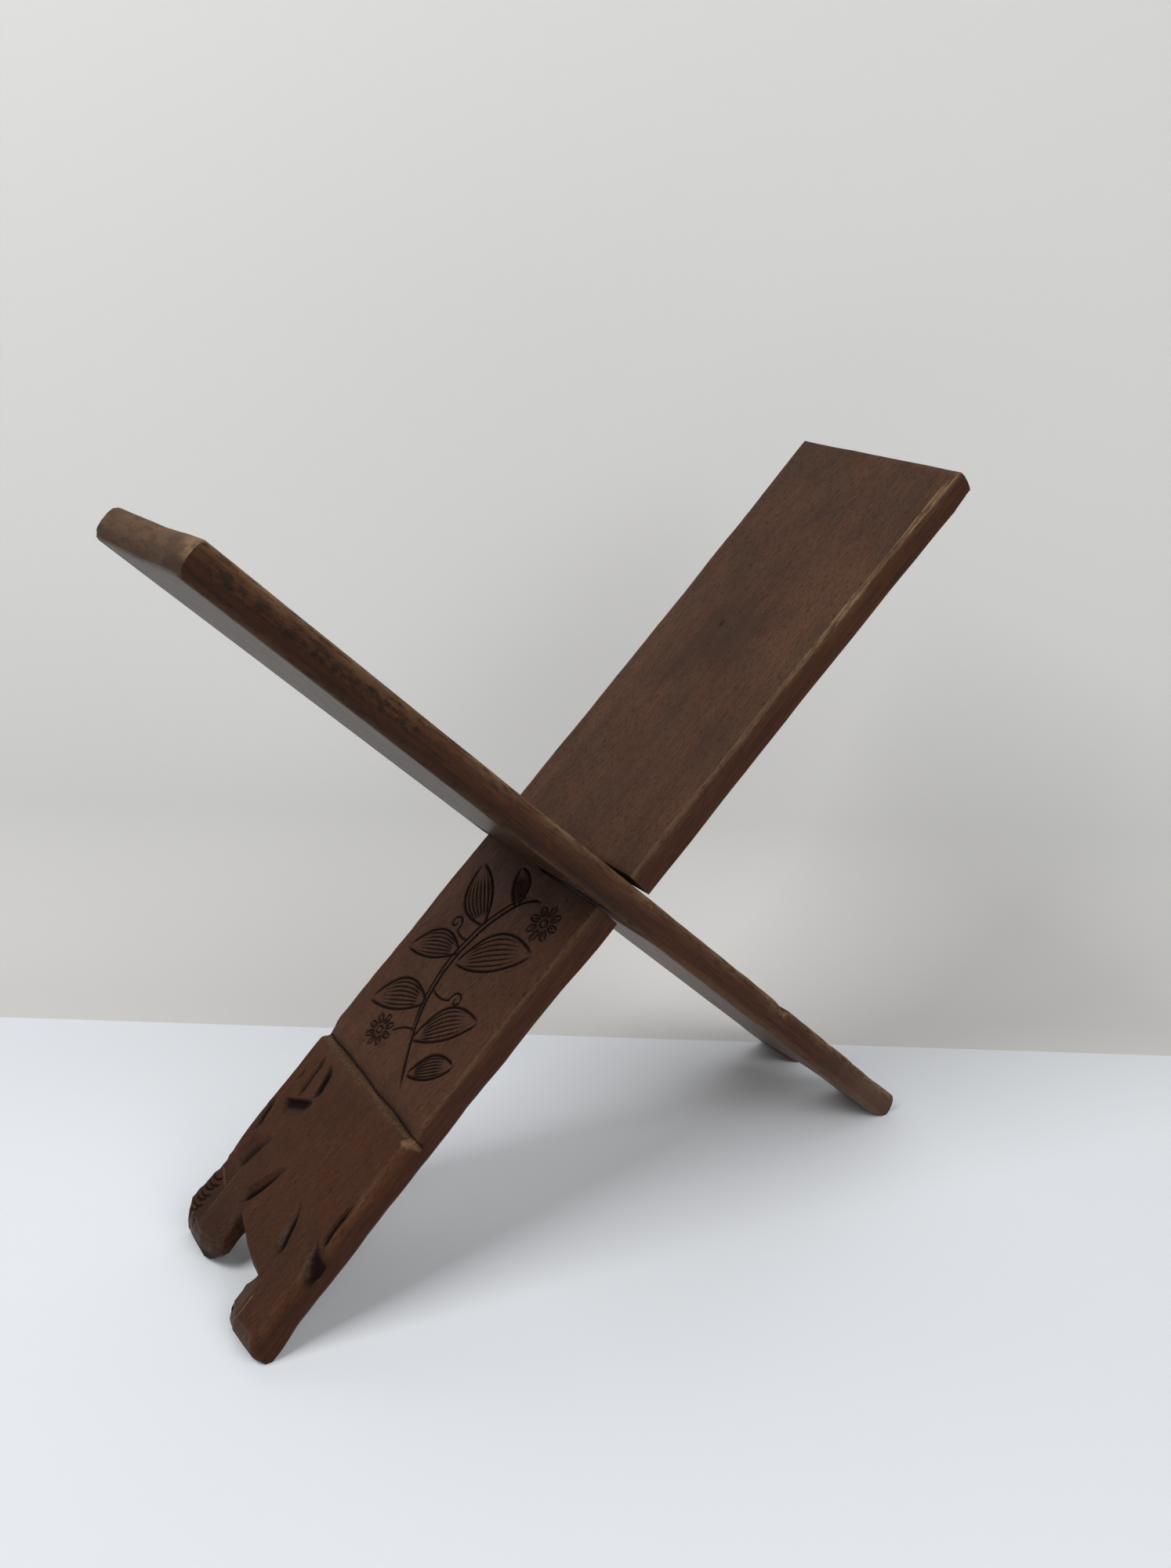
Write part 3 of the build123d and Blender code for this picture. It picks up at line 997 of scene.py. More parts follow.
        # The groove and its scoop add painted shade to the cuts' darkness
        grooved, groove_shade = self.groove_at(up, across)
        dark = np.clip(np.maximum(dark, groove_shade), 0.0, 1.0)
        edge_fall, end_fall = self.falls(up, across, Face.CARVED, self.foot_line)
        tooling = self.tooling_depth * swell(up, across, self.tooling_length, self.seed + 6)
        tooling = tooling * ease(*self.tooling_start, up)
        out = half - np.maximum(edge_fall, end_fall) - self.slope(up, across, Face.CARVED) - tooling

        back_up, back_across = self.grid(Face.PLAIN, self.back_foot_line)
        back_falls = self.falls(back_up, back_across, Face.PLAIN, self.back_foot_line)
        back_out = np.maximum(*back_falls) + self.slope(back_up, back_across, Face.PLAIN) - half

        worn = self.wear_and_highlight_at(up, across, edge_fall, end_fall, Face.CARVED)
        # Painted highlight along the groove's rounded shoulder
        shoulder = (self.groove_line(across) - up - self.groove_highlight_place) / self.groove_highlight_width
        worn = np.maximum(worn, self.groove_highlight * np.exp(-(shoulder**2)))
        # Light lines along ridges and at the groove's corner: wear with a painted highlight
        for stroke in trunk.rub_and_highlight_strokes():
            worn = np.maximum(worn, stroke.cut_at(up, across)[1])
        # The back's rounded arrises: painted highlight, with a little wear
        back_wear_and_highlight = self.back_wear_and_highlight_share * self.wear_and_highlight_at(back_up, back_across, *back_falls, Face.PLAIN)
        face_grid = np.stack([up, across, out, cuts + grooved, dark, worn], axis=2)
        level = np.zeros(up.shape)
        back_grid = np.stack([back_up, back_across, back_out, level, level, back_wear_and_highlight], axis=2)
        end = np.interp(across, *self.foot_line)
        bulge = np.where(across < 0.0, self.slot_foot_bulge, self.plain_foot_bulge)
        bulge = bulge * ease(self.foot_bulge_height, 0.0, up - end)
        bulge = bulge - self.end_bulge * ease(self.end_bulge_height, 0.0, self.top_line(across) - up)
        nodes, faces = knit(face_grid, back_grid, bulge)
        return Surface(nodes[:, :3], faces, nodes[:, 4], nodes[:, 5])

    def wear_and_highlight_at(
        self, up: np.ndarray, across: np.ndarray, edge_fall: np.ndarray, end_fall: np.ndarray, face: Face
    ) -> np.ndarray:
        """How far handling has rubbed the stain off an arris: two thin lines that come and go, and a soft
        band over the rounded arris that is wear with a painted highlight.

        Args:
            up: Places up the board.
            across: Places across it.
            edge_fall: How far the face has fallen away there towards the long edges.
            end_fall: How far it has fallen away towards the ends and openings.
            face: Which face of the board.

        Returns:
            The wear and painted highlight at each place, from 0 to 1.
        """
        radius = np.where(across < 0.0, self.slotted_radius(up, face), self.plain_radius(up, face))
        share = edge_fall / radius
        lines = np.interp(share, *self.arris_lines)
        band = np.interp(share, *self.arris_band)
        handled = ease(self.handled_from - self.handled_below, self.handled_from + self.handled_above, up)
        handled = handled * (across < 0.0)
        uneven = swell(up, across * self.patch_stretch, self.patch_length, self.seed + 8)
        patches = np.clip(self.patch_middle + self.patch_swing * uneven, 0.0, 1.0)
        # Soft band over the rounded arris: wear with a painted highlight
        soft = self.band_wear_and_highlight * np.where(up > 0.0, 1.0, self.lower_band_share) * (0.4 + 0.6 * patches)
        wear = np.maximum(lines * handled * (0.4 + 0.5 * patches), band * soft)
        ends = np.clip(end_fall / self.end_wear_fall, 0.0, 1.0)
        ends = np.where(up > 0.0, self.upper_end_wear, self.lower_end_wear) * ends
        return np.clip(np.maximum(wear, ends), 0.0, 1.0)

    def placed(self, points: np.ndarray) -> np.ndarray:
        """Turns points from the board's frame into the part's frame.

        Formula: lean the board, turn it to its side, lift it to the crossing, and wear off what
        would reach below the ground.

        Args:
            points: Places in the board's frame, in millimetres.

        Returns:
            Places in the part's frame, in metres.
        """
        turned = Matrix.Rotation(math.radians(self.turn), 3, "Z") @ Matrix.Rotation(-math.radians(self.lean), 3, "Y")
        world = points * MM @ np.array(turned).T + np.array(crossing_point())
        world[:, 2] = np.maximum(world[:, 2], 0.0)
        return world

    def build(self, finish: "Hardwood") -> bpy.types.Object:
        """Makes the board's object, dresses it and sets it on its body.

        Args:
            finish: The wood it is made of.

        Returns:
            The finished object.
        """
        surface = self.surface()
        mesh = bpy.data.meshes.new(self.name)
        mesh.from_pydata(self.placed(surface.points).tolist(), [], surface.faces)
        mesh.validate()
        mesh.shade_smooth()
        mesh.set_sharp_from_angle(angle=math.radians(self.smooth_angle))
        place = mesh.attributes.new("board_place", "FLOAT_VECTOR", "POINT")
        place.data.foreach_set("vector", (surface.points * MM).ravel())
        # The cut attribute is stain with painted shade, the worn one wear with painted highlights
        for label, values in (("cut", surface.dark), ("worn", surface.worn)):
            layer = mesh.attributes.new(label, "FLOAT", "POINT")
            layer.data.foreach_set("value", values)
        board = add_object(self.name, mesh)
        mesh.materials.append(finish.material(self))
        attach(board, self.node)
        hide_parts(self.node)
        triangles = sum(len(face) - 2 for face in surface.faces)
        log.info("%s: %d points, %d triangles", self.name, len(surface.points), triangles)
        return board


def add_object(name: str, data: bpy.types.ID) -> bpy.types.Object:
    """Puts a mesh, a lamp or a camera into the scene.

    Args:
        name: The object's name.
        data: What it holds.

    Returns:
        The object.
    """
    added = bpy.data.objects.new(name, data)
    bpy.context.scene.collection.objects.link(added)
    return added


def fall(distance: np.ndarray, radius: float | np.ndarray) -> np.ndarray:
    """Quarter-circle fall of a face towards an outline.

    Args:
        distance: Distance to the outline.
        radius: Radius of the rounded arris.

    Returns:
        The fall at each place.
    """
    short = np.clip(1.0 - distance / radius, 0.0, 1.0)
    return radius * (1.0 - np.sqrt(1.0 - short**2))


def column_set(step: int) -> np.ndarray:
    """Columns that a stretch of the grid uses: all those of the rounded edges, and some between.

    Args:
        step: How many columns it goes on at a time between them.

    Returns:
        The columns.
    """
    middle = np.arange(ARC_STEPS, COLUMNS - ARC_STEPS, step)
    return np.concatenate([np.arange(ARC_STEPS), middle, np.arange(COLUMNS - ARC_STEPS, COLUMNS)])


def back_rows() -> np.ndarray:
    """Rows that the plain back of a board uses.

    Returns:
        The rows, from the top end down.
    """
    kept, start = [], 0
    for steps, stride in BACK_STRIDES:
        kept.append(np.arange(start, start + steps, stride))
        start += steps
    return np.concatenate(kept)


def number_nodes(rows: np.ndarray, sets: list, first: int) -> tuple:
    """Picks the nodes that a side uses, which are those that no opening takes, and numbers them.

    Args:
        rows: The rows that are used.
        sets: The columns that each of them uses.
        first: Number of the first node.

    Returns:
        Which nodes are kept, and the number of each, -1 where it isn't kept.
    """
    kept = np.zeros((TOE_ROW + 1, COLUMNS), dtype=bool)
    for row, columns in zip(rows, sets):
        kept[row, columns] = True
    kept[SLOT_TOP_ROW + 1 : SLOT_LOW_ROW, :SLOT_COLUMN] = False
    kept[RIM_ROW + 1 :, NOTCH_SLOTTED + 1 : NOTCH_PLAIN] = False
    numbers = np.full(kept.shape, -1)
    numbers[kept] = first + np.arange(kept.sum())
    return kept, numbers


def open_cell(row: int, column: int) -> bool:
    """Tells whether the slot or the notch leaves no wood in a cell of the grid.

    Args:
        row: Row that the cell starts at.
        column: Column that it starts at.

    Returns:
        True where there is no wood.
    """
    in_slot = SLOT_TOP_ROW <= row < SLOT_LOW_ROW and column < SLOT_COLUMN
    in_notch = row >= RIM_ROW and NOTCH_SLOTTED <= column < NOTCH_PLAIN
    return in_slot or in_notch


def sheet_faces(rows: list, sets: list, numbers: np.ndarray, flip: bool) -> list:
    """Faces of one side of a board, between each used row and the next.

    Where two rows use different columns, each cell of the coarser row is one face with more corners.

    Args:
        rows: The rows that are used, from the top end down.
        sets: The columns that each of them uses.
        numbers: Number of the point at each row and column.
        flip: True for the side that faces the other way.

    Returns:
        A list of faces, each a list of point numbers.
    """
    faces = []
    for above, below, above_set, below_set in zip(rows, rows[1:], sets, sets[1:]):
        coarse = above_set if len(above_set) <= len(below_set) else below_set
        solid = np.array([not open_cell(above, column) for column in coarse[:-1]])
        starts, stops = coarse[:-1][solid], coarse[1:][solid]
        if len(above_set) == len(below_set):
            corners = [numbers[above, starts], numbers[above, stops], numbers[below, stops], numbers[below, starts]]
            block = np.stack(corners, axis=1)
            faces += (block[:, ::-1] if flip else block).tolist()
            continue
        for start, stop in zip(starts, stops):
            upper = above_set[(above_set >= start) & (above_set <= stop)]
            lower = below_set[(below_set >= start) & (below_set <= stop)]
            ring = numbers[above, upper].tolist() + numbers[below, lower][::-1].tolist()
            faces.append(ring[::-1] if flip else ring)
    return faces


def outline(sets: list) -> np.ndarray:
    """Nodes along the outline of a side, from the top of the plain edge round to it again.

    Args:
        sets: The columns that each row uses.

    Returns:
        The row and column of each node.
    """
    last = COLUMNS - 1
    corners = [
        (0, last),
        (TOE_ROW, last),
        (TOE_ROW, NOTCH_PLAIN),
        (RIM_ROW, NOTCH_PLAIN),
        (RIM_ROW, NOTCH_SLOTTED),
        (TOE_ROW, NOTCH_SLOTTED),
        (TOE_ROW, 0),
        (SLOT_LOW_ROW, 0),
        (SLOT_LOW_ROW, SLOT_COLUMN),
        (SLOT_TOP_ROW, SLOT_COLUMN),
        (SLOT_TOP_ROW, 0),
        (0, 0),
    ]
    nodes = []
    for start, end in zip(corners, corners[1:] + corners[:1]):
        (low_row, low), (high_row, high) = sorted((start, end))
        if low == high:
            leg = [(row, low) for row in range(low_row, high_row + 1)]
        else:
            leg = [(low_row, column) for column in sets[low_row] if low <= column <= high]
        nodes += (leg if start < end else leg[::-1])[:-1]
    return np.array(nodes)


def knit(face_grid: np.ndarray, back_grid: np.ndarray, bulge: np.ndarray) -> tuple:
    """Joins the carved face, the plain back and the walls between them into one closed surface.

    A node is its place up, across and out of the board, the depth cut there, its darkness, stain with
    painted shade, and its wear with painted highlights. The walls are rings under the outline of the
    face, which lose the cut's depth as they go down, and a last belt whose faces each join several
    points of the ring above to two points of the coarser back.

    Args:
        face_grid: Nodes of the carved face, rows by columns by six, before the cuts are sunk.
        back_grid: Nodes of the back, in the same grid.
        bulge: How far the wall bulges down the board under each node.

    Returns:
        The nodes and the faces.
    """
    coarse, dense = column_set(COARSE_STEP), column_set(1)
    sets = [coarse if row < SLOT_LOW_ROW else dense for row in range(TOE_ROW + 1)]
    kept, numbers = number_nodes(np.arange(TOE_ROW + 1), sets, 0)
    sunk = face_grid[kept].copy()
    sunk[:, 2] -= sunk[:, 3]
    nodes = [sunk]
    faces = sheet_faces(list(range(TOE_ROW + 1)), sets, numbers, False)

    ring_nodes = outline(sets)
    spots = (ring_nodes[:, 0], ring_nodes[:, 1])
    ring_face, ring_back, ring_bulge = face_grid[spots], back_grid[spots], bulge[spots]
    shifts = range(-DARK_SPAN, DARK_SPAN + 1)
    soft_dark = sum(np.roll(ring_face[:, 4], shift) for shift in shifts) / len(shifts)
    rings = [numbers[spots]]
    count = int(kept.sum())
    for share, kept_cut, fullness in WALL_RINGS:
        ring = ring_face + (ring_back - ring_face) * share
        ring[:, 1] = ring_back[:, 1] + (ring_face[:, 1] - ring_back[:, 1]) * (1.0 - share) ** RAGGED_FADE
        ring[:, 0] -= ring_bulge * fullness
        ring[:, 2] -= ring_face[:, 3] * kept_cut
        ring[:, 4] = soft_dark * kept_cut
        ring[:, 5] = ring_face[:, 5] * (1.0 - share) ** WEAR_AND_HIGHLIGHT_FADE
        nodes.append(ring)
        rings.append(np.arange(count, count + len(ring_nodes)))
        count += len(ring_nodes)
    for upper, lower in zip(rings, rings[1:]):
        faces += np.stack([upper, lower, np.roll(lower, -1), np.roll(upper, -1)], axis=1).tolist()

    plain_rows = back_rows()
    back_kept, back_numbers = number_nodes(plain_rows, [coarse] * len(plain_rows), count)
    nodes.append(back_grid[back_kept])
    faces += sheet_faces(plain_rows.tolist(), [coarse] * len(plain_rows), back_numbers, True)

    shared = np.flatnonzero(back_kept[spots])
    last_ring = rings[-1]
    for first, last in zip(shared, np.append(shared[1:], shared[0] + len(ring_nodes))):
        span = np.arange(first, last + 1) % len(ring_nodes)
        corners = ring_nodes[span[[0, -1]]]
        backs = back_numbers[corners[:, 0], corners[:, 1]]
        faces.append([int(last_ring[span[0]]), int(backs[0]), int(backs[1])] + last_ring[span[:0:-1]].tolist())
    return np.concatenate(nodes), faces


def crossing_point() -> Vector:
    """Where the middle planes of the two boards cross, from the record's cradle faces.

    Formula: each middle plane lies half a thickness behind its cradle face, and the crossing is the
    point of both planes that has no place across.

    Returns:
        The crossing, in metres.
    """
    mounts = {mount["name"]: mount for mount in frame["record"]["mounts"]}
    faces = [mounts["near_board_cradle_face"], mounts["far_board_cradle_face"]]
    normals = np.array([[face["axis"][0], face["axis"][2]] for face in faces])
    spots = np.array([[face["pos_m"][0], face["pos_m"][2]] for face in faces])
    half = BOARD_THICKNESS * MM / 2.0
    place = np.linalg.solve(normals, (normals * spots).sum(axis=1) - half)
    return Vector((place[0], 0.0, place[1]))


def linear(colour: str) -> tuple:
    """Turns an sRGB hex colour into linear red, green, blue and alpha.

    Args:
        colour: Six hex digits after a #.

    Returns:
        Four values from 0 to 1.
    """
    parts = [int(colour[start : start + 2], 16) / 255.0 for start in (1, 3, 5)]
    return tuple(part / 12.92 if part <= 0.04045 else ((part + 0.055) / 1.055) ** 2.4 for part in parts) + (1.0,)


def add_node(
    tree: bpy.types.NodeTree, kind: str, settings: dict | None = None, links: dict | None = None
) -> bpy.types.NodeOutputs:
    """Adds a shader node with its settings and links.

    Args:
        tree: The node tree of a material or a world.
        kind: The node's type, without the ShaderNode before it.
        settings: Properties by name, and values of inputs by number or by a name after an @.
        links: Output sockets to join to inputs, by number or name.

    Returns:
        The new node's outputs.
    """
    node = tree.nodes.new("ShaderNode" + kind)
    for key, value in (settings or {}).items():
        if isinstance(key, int):
            node.inputs[key].default_value = value
        elif key.startswith("@"):
            node.inputs[key[1:]].default_value = value
        else:
            setattr(node, key, value)
    for key, socket in (links or {}).items():
        tree.links.new(socket, node.inputs[key])
    return node.outputs


class Trait(Enum):
    """What a tint can follow: a place on the board, a measure of its surface, or a noise pattern.

    A pattern's value is the width, length and depth of its grains in millimetres, its detail and its
    roughness. Growth bands, fibres and pores run up the board.
    """

    UP = "X"
    ACROSS = "Y"
    OUT = "Z"
    KNOT = "distance to the knot"
    END_GRAIN = "share that faces up the grain"
    EDGE_ON = "share that faces sideways"
    WEAR_AND_HIGHLIGHT = "worn"
    CUT = "cut"
    BANDS = (9.0, 144.0, 9.0, 2.0, 0.5)
    FIBRES = (0.8, 9.0, 0.8, 3.0, 0.6)
    CLOUDS = (30.0, 42.0, 30.0, 3.0, 0.5)
    WARMTH = (27.0, 39.0, 27.0, 2.0, 0.5)
    PORES = (0.55, 3.6, 0.55, 1.0, 0.5)
    SPECKLE = (2.6, 2.6, 0.8, 2.0, 0.6)
    MOTTLE = (24.0, 24.0, 6.0, 3.0, 0.6)
    STREAKS = (1.8, 34.0, 1.8, 4.0, 0.7)
    BLOTS = (2.6, 4.5, 2.6, 2.0, 0.7)
    PATCHES = (1.6, 9.0, 1.6, 3.0, 0.65)


UP, ACROSS, OUT, KNOT = Trait.UP, Trait.ACROSS, Trait.OUT, Trait.KNOT
# The traits that are lengths
LENGTHS = (UP, ACROSS, OUT, KNOT)
# Where the surface faces so far up the grain that it is end grain
SAWN_END = (Trait.END_GRAIN, 0.55, 0.9)


@dataclass(frozen=True)
class Tint:
    """A colour laid over the wood, and the factors of its share, as WoodGraph.share takes them."""

    colour: str | bpy.types.NodeSocket
    factors: tuple


class WoodGraph:
    """The wood's node tree: a socket for each trait, and the steps that mix colours by them."""

    def __init__(self, tree: bpy.types.NodeTree, board: CarvedBoard) -> None:
        """Makes the sockets of places and measures; those of patterns are made when first used.

        Args:
            tree: The material's empty node tree.
            board: The board, which sets the knot, the way of the grain and the shift of the patterns.
        """
        self.add = partial(add_node, tree)
        place = self.add("Attribute", {"attribute_name": "board_place"})["Vector"]
        shift = (board.seed * board.grain_shift, 0.0, 0.0)
        self.shifted = self.add("VectorMath", {"operation": "ADD", 1: shift}, {0: place})[0]
        knot = (board.knot[0] * MM, board.knot[1] * MM, board.thickness / 2.0 * MM)
        apart = self.add("VectorMath", {"operation": "SUBTRACT", 1: knot}, {0: place})[0]
        apart = self.add("VectorMath", {"operation": "MULTIPLY", 1: board.knot_stretch}, {0: apart})[0]
        self.sockets = {KNOT: self.add("VectorMath", {"operation": "LENGTH"}, {0: apart})["Value"]}
        lean = math.radians(board.lean)
        grain = (math.cos(lean) * (1.0 if board.turn == 0.0 else -1.0), 0.0, math.sin(lean))
        normal = self.add("NewGeometry")["Normal"]
        for trait, way in ((Trait.END_GRAIN, grain), (Trait.EDGE_ON, (0.0, 1.0, 0.0))):
            along = self.add("VectorMath", {"operation": "DOT_PRODUCT", 1: way}, {0: normal})["Value"]
            self.sockets[trait] = self.add("Math", {"operation": "ABSOLUTE"}, {0: along})[0]
        for trait in (Trait.WEAR_AND_HIGHLIGHT, Trait.CUT):
            self.sockets[trait] = self.add("Attribute", {"attribute_name": trait.value})["Fac"]
        parts = self.add("SeparateXYZ", {}, {0: place})
        for trait in (UP, ACROSS, OUT):
            self.sockets[trait] = parts[trait.value]

    def socket(self, trait: Trait) -> bpy.types.NodeSocket:
        """Finds the socket of a trait, and makes that of a noise pattern the first time.

        Formula: the place is divided by the size of a grain each way, in metres, and the noise has
        one grain to a unit.

        Args:
            trait: The trait.

        Returns:
            Its socket.
        """
        if trait not in self.sockets:
            width, length, depth, detail, roughness = trait.value
            scale = tuple(1.0 / (size * MM) for size in (length, width, depth))
            grains = self.add("VectorMath", {"operation": "MULTIPLY", 1: scale}, {0: self.shifted})[0]
            settings = {"@Scale": 1.0, "@Detail": detail, "@Roughness": roughness}
            self.sockets[trait] = self.add("TexNoise", settings, {"Vector": grains})["Fac"]
        return self.sockets[trait]

    def share(self, *factors: tuple | float | bpy.types.NodeSocket) -> bpy.types.NodeSocket:
        """Multiplies factors into one share.

        A rise follows a trait between two of its values, and stays level beyond them. It is given as
        the trait and the values where the rise begins and ends, places and distances in millimetres.
        It is smooth, from 0 to 1, or straight if what it begins and ends at is given too.

        Args:
            *factors: A socket or a rise, then more of them, or numbers.

        Returns:
            The socket of their product.
        """
        total = None
        for factor in factors:
            value = factor
            if isinstance(factor, tuple):
                trait, low, high, *ends = factor
                unit = MM if trait in LENGTHS else 1.0
                settings = {"@From Min": low * unit, "@From Max": high * unit}
                settings |= {"@To Min": ends[0], "@To Max": ends[1]} if ends else {"interpolation_type": "SMOOTHSTEP"}
                value = self.add("MapRange", settings, {"Value": self.socket(trait)})[0]
            if total is None:
                total = value
            elif isinstance(value, float):
                total = self.add("Math", {"operation": "MULTIPLY", 1: value}, {0: total})[0]
            else:
                total = self.add("Math", {"operation": "MULTIPLY"}, {0: total, 1: value})[0]
        return total

    def tinted(self, colour: str | bpy.types.NodeSocket, *tints: Tint) -> bpy.types.NodeSocket:
        """Lays tints over a colour, one after another.

        Args:
            colour: The colour below, as a socket or an sRGB hex colour.
            *tints: The tints, the lowest first.

        Returns:
            The socket of the mixed colour.
        """
        for tint in tints:
            settings, links = {"data_type": "RGBA"}, {0: self.share(*tint.factors)}
            for number, shown in ((6, colour), (7, tint.colour)):
                if isinstance(shown, str):
                    settings[number] = linear(shown)
                else:
                    links[number] = shown
            colour = self.add("Mix", settings, links)[2]
        return colour


@dataclass(frozen=True)
class Hardwood:
    """Dark rosewood-like hardwood, planed by hand, stained brown and waxed.

    Stain sinks into pores and cuts, so they are near black, and the cuts carry painted shade in their
    hollows too. Hands have rubbed the arrises back to a lighter, yellower brown, and the same colour
    paints highlights on rounded arrises, ridges and the groove's shoulder. Smoke and handling leave soft
    dark clouds, and the same dark colour paints shade below the crossing and on the broad foot. The
    edge walls carry a darker stain with painted shade. Wax gives a satin gloss that greys at a glancing
    view.
    """

    name: str = "stained waxed hardwood"
    red: str = "#503425"
    brown: str = "#463022"
    russet: str = "#43220E"
    # Edge walls: a darker stain with painted shade
    wall_dark: str = "#281207"
    wall_light: str = "#46230F"
    # Smoke and soft dark clouds, and painted shade in the same colour
    smoke_and_shade: str = "#2A1B13"
    # Rubbed wear, and painted highlights in the same colour
    rubbed: str = "#9C7E5E"
    cut_shade: str = "#0D0706"
    end_shade: str = "#624D3D"
    foot_shade: str = "#241812"
    dusty: str = "#5F4839"
    hand_worn: str = "#7C5641"
    bump_strength: float = 0.3
    bump_height: float = 0.2
    refraction: float = 1.46
    specular: float = 0.12

    def face_colour(self, graph: WoodGraph, board: CarvedBoard) -> bpy.types.NodeSocket:
        """Colour of the long grain: warm brown, russet below, with darker clouds, bands, fibres and pores,
        and painted shade below the crossing and on the broad foot.

        Args:
            graph: The wood's node tree.
            board: The board that it dresses.

        Returns:
            The colour's socket.
        """
        plain_side = graph.share((ACROSS, 34.0, 54.0), (UP, 240.0, 170.0))
        slotted_side = graph.share((UP, 130.0, 165.0), (UP, 245.0, 225.0), (ACROSS, -14.0, -54.0))
        sides = graph.add("Math", {"operation": "MAXIMUM"}, {0: plain_side, 1: slotted_side})[0]
        russet = graph.tinted(self.russet, Tint(self.red, ((UP, -178.0, -160.0), 0.55)))
        return graph.tinted(
            self.brown,
            Tint(self.red, ((Trait.WARMTH, 0.38, 0.6),)),
            Tint(self.red, ((UP, 190.0, 30.0), 0.45)),
            # Russet below the crossing, and purer past the groove
            Tint(russet, ((UP, -6.0, -40.0), 0.85)),
            # Painted shade just below the crossing, where the other board shadows this one
            Tint(self.smoke_and_shade, ((UP, -42.0, -16.0), (UP, -5.0, -8.0), 0.5)),
            # Darker towards the feet, and painted shade on the broad foot's face below its hollow facet
            Tint(self.smoke_and_shade, ((UP, -218.0, -262.0), board.foot_darkening)),
            Tint(self.smoke_and_shade, ((ACROSS, 12.0, 22.0), (ACROSS, 52.0, 42.0), (UP, -240.0, -270.0), 0.5)),
            # Paler where hands take hold of the sides
            Tint(self.hand_worn, (sides, (UP, -110.0, -60.0), (Trait.BANDS, 0.3, 0.6), 0.2)),
            Tint(self.smoke_and_shade, ((Trait.BANDS, 0.45, 0.7), 0.25)),
            Tint(self.smoke_and_shade, ((Trait.CLOUDS, 0.46, 0.7), 0.25)),
            Tint(self.smoke_and_shade, ((Trait.FIBRES, 0.5, 0.72), 0.4)),
            Tint(self.rubbed, ((Trait.FIBRES, 0.44, 0.28), 0.08)),
            Tint(self.cut_shade, ((Trait.PORES, 0.56, 0.68), 0.8)),
            # A small knot, with the wood darkened round it
            Tint(self.smoke_and_shade, ((KNOT, 30.0, 2.0), 0.35)),
            Tint(self.cut_shade, ((KNOT, 2.4, 0.6), 0.8)),
        )

    def end_colour(self, graph: WoodGraph) -> bpy.types.NodeSocket:
        """Colour of the end grain: greyed and speckled, darker at the feet, with one corner rubbed pale.

        Args:
            graph: The wood's node tree.

        Returns:
            The colour's socket.
        """
        return graph.tinted(
            self.end_shade,
            Tint(self.foot_shade, ((UP, -60.0, -120.0),)),
            Tint(self.smoke_and_shade, ((Trait.SPECKLE, 0.4, 0.7), 0.35)),
            Tint(self.smoke_and_shade, ((Trait.MOTTLE, 0.42, 0.62), 0.4)),
            Tint(self.rubbed, ((ACROSS, 44.0, 62.0), (OUT, -4.0, 2.0), (Trait.MOTTLE, 0.62, 0.38), 0.5)),
        )

    def stains_and_highlight(self) -> list:
        """Tints of a board that has been stained at its plain edge, which also grows darker towards its back
        above the crossing and has a faint painted highlight towards its back below it.

        Returns:
            The tints, the lowest first.
        """
        upper = ((UP, 150.0, 175.0), (UP, 302.0, 290.0))
        middle = ((OUT, -3.0, 0.0), (OUT, 6.5, 4.0))
        return [
            # Dark blots along the upper part of the edge
            Tint(self.cut_shade, ((Trait.BLOTS, 0.42, 0.6), *upper, *middle, (ACROSS, 60.0, 62.0), 0.75)),
            # Darker towards the back above the crossing, and a faint painted highlight towards the back below it
            Tint(self.cut_shade, ((OUT, 2.0, -6.0), (UP, -40.0, 20.0), 0.5)),
            Tint(self.rubbed, ((OUT, -3.5, -6.5), (UP, -20.0, -60.0), 0.05)),
        ]

    def colour(self, graph: WoodGraph, board: CarvedBoard) -> bpy.types.NodeSocket:
        """Colour of the whole board: its long grain, edge walls and ends, with their wear, painted highlights
        and shade, and their cuts.

        Args:
            graph: The wood's node tree.
            board: The board that it dresses.

        Returns:
            The colour's socket.
        """
        # Edge walls: a darker stain, with painted shade where they face away from the lamps, and dark streaks of
        # grain
        walls = graph.tinted(self.wall_light, Tint(self.wall_dark, ((Trait.STREAKS, 0.34, 0.66),)))
        return graph.tinted(
            self.face_colour(graph, board),
            # Edge walls: darker stain and painted shade
            Tint(walls, ((Trait.EDGE_ON, 0.75, 0.97), 0.75)),
            Tint(self.dusty, ((UP, -215.0, -290.0), board.foot_dust)),
            Tint(self.end_colour(graph), (SAWN_END, 0.9)),
            # The arris between the top end and an edge
            Tint(self.rubbed, ((Trait.END_GRAIN, 0.3, 0.5), (Trait.EDGE_ON, 0.35, 0.5), (UP, 0.0, 100.0), 0.15)),
            *(self.stains_and_highlight() if board.stained else ()),
            # Rubbed arrises, with painted highlights on rounded arrises, ridges and the groove's shoulder
            Tint(self.rubbed, (graph.socket(Trait.WEAR_AND_HIGHLIGHT), (Trait.PATCHES, 0.3, 0.6), 0.7)),
            # Cuts: near black with stain and painted shade in their hollows
            Tint(self.cut_shade, (graph.socket(Trait.CUT), 0.93)),
        )

